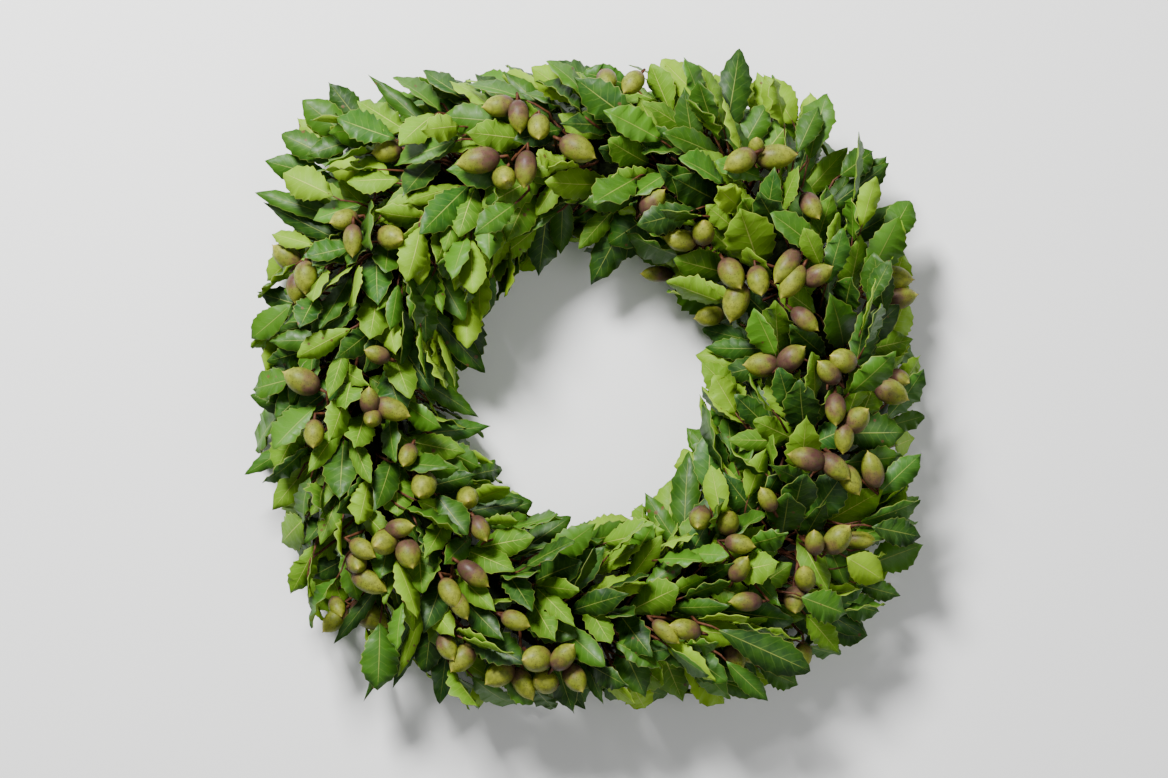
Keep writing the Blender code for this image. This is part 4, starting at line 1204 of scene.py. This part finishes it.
class NutPattern:
    """The one modelled nut, of unit length and width, that every nut is a copy of."""

    SIDES = 14
    RINGS = 11

    def __init__(self):
        deselect()
        bpy.ops.mesh.primitive_uv_sphere_add(segments=self.SIDES, ring_count=self.RINGS, radius=0.5)
        ball = bpy.context.object
        for vertex in ball.data.vertices:
            along = vertex.co.z + 0.5
            around = math.atan2(vertex.co.y, vertex.co.x)
            reach = self.half_width(along)
            if math.hypot(vertex.co.x, vertex.co.y) < 1e-5:
                reach = 0.0
                vertex.co.z += NUT_SPINE if along > 0.5 else 0.0
            vertex.co.x = reach * math.cos(around)
            vertex.co.y = reach * math.sin(around)
        mesh = ball.data
        self.points = np.array([vertex.co for vertex in mesh.vertices])
        self.faces = [tuple(face.vertices) for face in mesh.polygons]
        flat = np.concatenate([self.points[list(face)] for face in self.faces])
        around = np.arctan2(flat[:, 1], flat[:, 0]) / math.tau + 0.5
        self.uvs = np.stack([around, flat[:, 2] + 0.5], axis=1)
        bpy.data.objects.remove(ball, do_unlink=True)

    @staticmethod
    def half_width(along):
        """Half width at a share of the length: full below the middle, then drawn to a point."""
        stations = (0.0, 0.02, 0.08, 0.2, 0.34, 0.48, 0.62, 0.76, 0.87, 0.93, 0.97, 1.0)
        widths = (0.0, 0.15, 0.29, 0.43, 0.495, 0.5, 0.475, 0.39, 0.26, 0.145, 0.06, 0.0)
        return float(np.interp(along, stations, widths))

    def placed(self, nut):
        middle, axis = nut_middle(nut), nut_axis(nut)
        spare = UP if abs(axis.z) < 0.7 else Vector((1, 0, 0))
        first = axis.cross(spare).normalized()
        second = axis.cross(first)
        length, width = nut[4] * MM, nut[5] * MM
        x, y, z = self.points.T
        return (np.array(middle) + np.outer(x * width, first) + np.outer(y * width, second)
                + np.outer(z * length, axis))


def grow_leaves(crown, pattern, upper, under):
    """One piece of leaves for each bunch."""
    pieces = []
    for bunch in range(BUNCH_COUNT):
        piece = Piece("leaves_%02d" % (bunch + 1), (upper, under))
        for number, leaf in enumerate(crown.leaves):
            if leaf.bunch != bunch:
                continue
            draw = random.Random(SEED * 31 + number)
            turned = leaf.tone == "L"
            slots = np.where(pattern.lower != turned, 1, 0)
            tone = TONES[leaf.tone] + draw.uniform(-0.3, 0.3)
            # Painted shade: leaves whose feet lie deep in the tube of foliage get a darker tone
            depth = (leaf.root - tube_middle(math.atan2(leaf.root.y, leaf.root.x))).length
            tone += float(np.interp(depth, SHADE_DEPTHS, (INNER_SHADE, 0.0)))
            tint = (min(max(tone, 0.0), 1.0), draw.random(), draw.random(), 1.0)
            piece.add(pattern.bent(leaf, draw), pattern.faces, slots.tolist(), tint, pattern.uvs)
        pieces.append(piece.make())
    return pieces


def leaf_stalk(leaf, draw):
    """Route and radii of the twig that carries one leaf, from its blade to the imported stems."""
    angle = math.atan2(leaf.root.y, leaf.root.x)
    heart = tube_middle(angle)
    inward = (heart - leaf.root).normalized()
    _, along = ring_axes(angle)
    start = leaf.root + leaf.heading * leaf.length * 0.1
    bend = leaf.root - leaf.heading * 5 * MM + inward * 1.5 * MM
    deep = leaf.root - leaf.heading * 9 * MM + inward * 9 * MM - along * 5 * MM
    depth = (heart - deep).length
    end = deep + (heart - deep) * max(1 - 16 * MM / max(depth, 17 * MM), 0) - along * 12 * MM
    end.z = max(end.z, 9 * MM)
    radius = draw.uniform(0.75, 1.0) * MM
    return (start, bend, deep, end), (radius * 0.55, radius, radius * 1.15, radius * 1.5)


def bunch_stems(bunch, draw):
    """Routes and radii of a bunch's gathered stems, tied at the foot and fanned at the head."""
    routes = []
    for number in range(STEM_COUNT):
        turn = number * GOLDEN_ANGLE
        spread = math.sqrt((number + 0.5) / STEM_COUNT)
        route = []
        for distance, reach, height in STEM_ROUTE:
            place = bunch * BUNCH_STEP + (distance + draw.uniform(-1, 1)) * MM / RING_RADIUS
            outward, _ = ring_axes(place)
            turned = turn + draw.uniform(-0.08, 0.08)
            point = outward * (RING_RADIUS + reach * spread * math.cos(turned) * MM)
            rise = max(height + reach * spread * math.sin(turned), STEM_FLOOR)
            route.append(point + UP * rise * MM)
        radius = draw.uniform(1.4, 1.9) * MM
        routes.append((route, [radius * share for share in STEM_RADII]))
    return routes


def heart_mesh(bunch):
    """The dark packed middle of one bunch, which keeps light from passing between the leaves."""
    rings = []
    for distance, radius, height in HEART_RINGS:
        outward, _ = ring_axes(bunch * BUNCH_STEP + distance * MM / RING_RADIUS)
        for side in range(HEART_SIDES):
            turn = -math.tau * side / HEART_SIDES
            wobble = 1 + 0.12 * math.sin(5 * turn + distance + bunch)
            point = outward * (RING_RADIUS + radius * wobble * math.cos(turn) * MM)
            rise = max(height + radius * wobble * math.sin(turn), HEART_FLOOR)
            rings.append(point + UP * rise * MM)
    return rings, tube_faces(len(HEART_RINGS), HEART_SIDES)


def gather_stems(crown, bark, litter):
    """One piece of stems, twigs and dark middle for each bunch."""
    pieces = []
    plain = (0.5, 0.5, 0.5, 1.0)
    for bunch in range(BUNCH_COUNT):
        piece = Piece("stems_%02d" % (bunch + 1), (bark, litter))
        draw = random.Random(SEED * 77 + bunch)
        points, faces = heart_mesh(bunch)
        piece.add(points, faces, [1] * len(faces), plain)
        for route, radii in bunch_stems(bunch, draw):
            points, faces = tube(route, radii, 6)
            piece.add(points, faces, [0] * len(faces), plain)
        for leaf in crown.leaves:
            if leaf.bunch == bunch:
                points, faces = tube(*leaf_stalk(leaf, draw), 4)
                piece.add(points, faces, [0] * len(faces), plain)
        pieces.append(piece.make())
    return pieces


def nut_stalk(nut, foot):
    """Route and radii of the stalk of one nut, from the foot that it shares up to its base."""
    axis, base = nut_axis(nut), nut_base(nut)
    knee = base - axis * 5 * MM
    rise = knee - foot
    middle = foot + rise * 0.55 + UP * 1.5 * MM
    deep = foot - rise.normalized() * 8 * MM
    return (deep, middle, knee, base + axis * MM), (1.4 * MM, 1.1 * MM, MM, 1.5 * MM)


def cluster_foot(nuts, cores):
    """Where the stalks of a cluster start on the core, as in the solids."""
    centre, point, _ = cluster_place(nuts, cores)
    return point + (centre - point) * (0.0 if len(nuts) == 1 else 0.35)


def hang_nuts(name, clusters, crown, pattern, skin, bark):
    """One piece of nuts with their stalks, cluster by cluster."""
    piece = Piece(name, (skin, bark))
    for nuts in clusters:
        foot = cluster_foot(nuts, crown.cores)
        for nut in nuts:
            draw = random.Random(int(nut[0] * 7 + nut[1] * 13))
            tint = (draw.random(), draw.random(), draw.random(), 1.0)
            slots = [0] * len(pattern.faces)
            piece.add(pattern.placed(nut), pattern.faces, slots, tint, pattern.uvs)
            points, faces = tube(*nut_stalk(nut, foot), 6)
            piece.add(points, faces, [1] * len(faces), tint)
    return piece.make()


def apply_all(obj):
    """Puts an object's place into its mesh and applies its modifiers."""
    deselect()
    obj.select_set(True)
    bpy.context.view_layer.objects.active = obj
    bpy.ops.object.transform_apply(location=True, rotation=True, scale=True)
    for modifier in list(obj.modifiers):
        bpy.ops.object.modifier_apply(modifier=modifier.name)


def make_ring(zinc):
    """Two round rails and eight flat cross bars with worn edges, joined into one piece."""
    deselect()
    made = []
    for radius in RAIL_RADII:
        bpy.ops.mesh.primitive_torus_add(
            major_segments=128, minor_segments=12, major_radius=radius,
            minor_radius=RAIL_WIRE_RADIUS, location=(0, 0, RAIL_MIDDLE))
        made.append(bpy.context.object)
    for bar in range(BAR_COUNT):
        angle = (2 * bar + BAR_OFFSET) * BUNCH_STEP
        outward, _ = ring_axes(angle)
        middle = outward * sum(BAR_REACH) / 2 + UP * BAR_THICKNESS / 2
        size = (BAR_REACH[1] - BAR_REACH[0], BAR_WIDTH, BAR_THICKNESS)
        bpy.ops.mesh.primitive_cube_add(
            size=1, location=middle, rotation=(0, 0, angle), scale=size)
        strip = bpy.context.object
        apply_all(strip)
        edge = strip.modifiers.new("Rolled edge", "BEVEL")
        edge.width = 0.6 * MM
        edge.segments = 3
        apply_all(strip)
        made.append(strip)
    deselect()
    for obj in made:
        obj.select_set(True)
    bpy.context.view_layer.objects.active = made[0]
    bpy.ops.object.join()
    ring = bpy.context.object
    ring.name = ring.data.name = "ring_frame"
    ring.data.materials.append(zinc)
    apply_all(ring)
    bpy.ops.object.shade_smooth_by_angle(angle=math.radians(40))
    return ring


def make_binding(lacquer):
    """The binding wire as one round wire through the same corners, with its bends eased."""
    corners = wire_route()
    route = [corners[0]]
    for before, corner, after in zip(corners, corners[1:], corners[2:]):
        route.append(corner.lerp(before, 0.22))
        route.append(corner.lerp(before, 0.06).lerp(after, 0.06))
        route.append(corner.lerp(after, 0.22))
    route.append(corners[-1])
    points, faces = tube(route, [WIRE_RADIUS] * len(route), 8)
    piece = Piece("binding", (lacquer,))
    piece.add(points, faces, [0] * len(faces), (0.5, 0.5, 0.5, 1.0))
    return piece.make()


def settle(obj, shift, slot, *nodes):
    """Moves a piece's mesh from the ring's own centre to its place, and ties it to the frame."""
    obj.data.transform(shift)
    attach(obj, "root")
    if nodes:
        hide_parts(*nodes)


def make_stage(middle):
    """Pale floor, soft lights from above and from the top side, and the camera."""
    deselect()
    bpy.ops.mesh.primitive_plane_add(size=FLOOR_SIDE, location=(0, 0, -FLOOR_DROP))
    floor = bpy.context.object
    floor.name = "floor"
    floor.data.materials.append(pale_floor())
    world = bpy.data.worlds.new("studio")
    world.use_nodes = True
    sky = world.node_tree.nodes["Background"].inputs
    sky["Color"].default_value = linear("f4f6f8")
    sky["Strength"].default_value = SURROUND
    bpy.context.scene.world = world
    for name, place, size, watts in LAMPS:
        lamp = bpy.data.lights.new(name, "AREA")
        lamp.shape = "SQUARE"
        lamp.size = size
        lamp.energy = watts
        holder = bpy.data.objects.new(name, lamp)
        holder.location = place
        holder.rotation_mode = "QUATERNION"
        holder.rotation_quaternion = (Vector(place) - middle).to_track_quat("Z", "Y")
        bpy.context.scene.collection.objects.link(holder)
    lens = bpy.data.cameras.new("camera")
    lens.sensor_width = SENSOR_WIDTH
    lens.lens = SENSOR_WIDTH * CAMERA_DISTANCE / (IMAGE_WIDTH * MM_PER_PIXEL * MM)
    lens.clip_start = 0.1
    camera = bpy.data.objects.new("camera", lens)
    camera.location = middle + CAMERA_SHIFT * MM_PER_PIXEL * MM + UP * CAMERA_DISTANCE
    bpy.context.scene.collection.objects.link(camera)
    bpy.context.scene.camera = camera


def main():
    low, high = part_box("wire_frame")
    centre = (low + high) / 2
    centre.z = 0
    crown = Crown()
    crown.grow()
    crown.fill()
    upper, under = leathery_upper_side(), matt_under_side()
    skin, bark, litter = nut_skin(), twig_bark(), shaded_litter()
    shift = Matrix.Translation(centre)
    leaves = grow_leaves(crown, BladePattern(), upper, under)
    stems = gather_stems(crown, bark, litter)
    for number, (blades, twigs) in enumerate(zip(leaves, stems)):
        node_name = "bunch_%02d" % (number + 1)
        settle(blades, shift, "leaves", node_name)
        settle(twigs, shift, "leaves", node_name)
    pattern = NutPattern()
    for number, nuts in enumerate(NUT_CLUSTERS):
        name = "nuts_%02d" % (number + 1)
        hung = hang_nuts(name, [nuts], crown, pattern, skin, bark)
        settle(hung, shift, "nuts", "nut_cluster_%02d" % (number + 1))
    singles = [[nut] for nut in SMALL_NUTS]
    settle(hang_nuts("small_nuts", singles, crown, pattern, skin, bark), shift, "nuts")
    settle(make_ring(galvanised_wire()), shift, "ring_wire", "wire_frame")
    settle(make_binding(green_lacquered_wire()), shift, "binding_wire", "binding_wire")
    make_stage(centre + UP * VIEW_HEIGHT)


main()
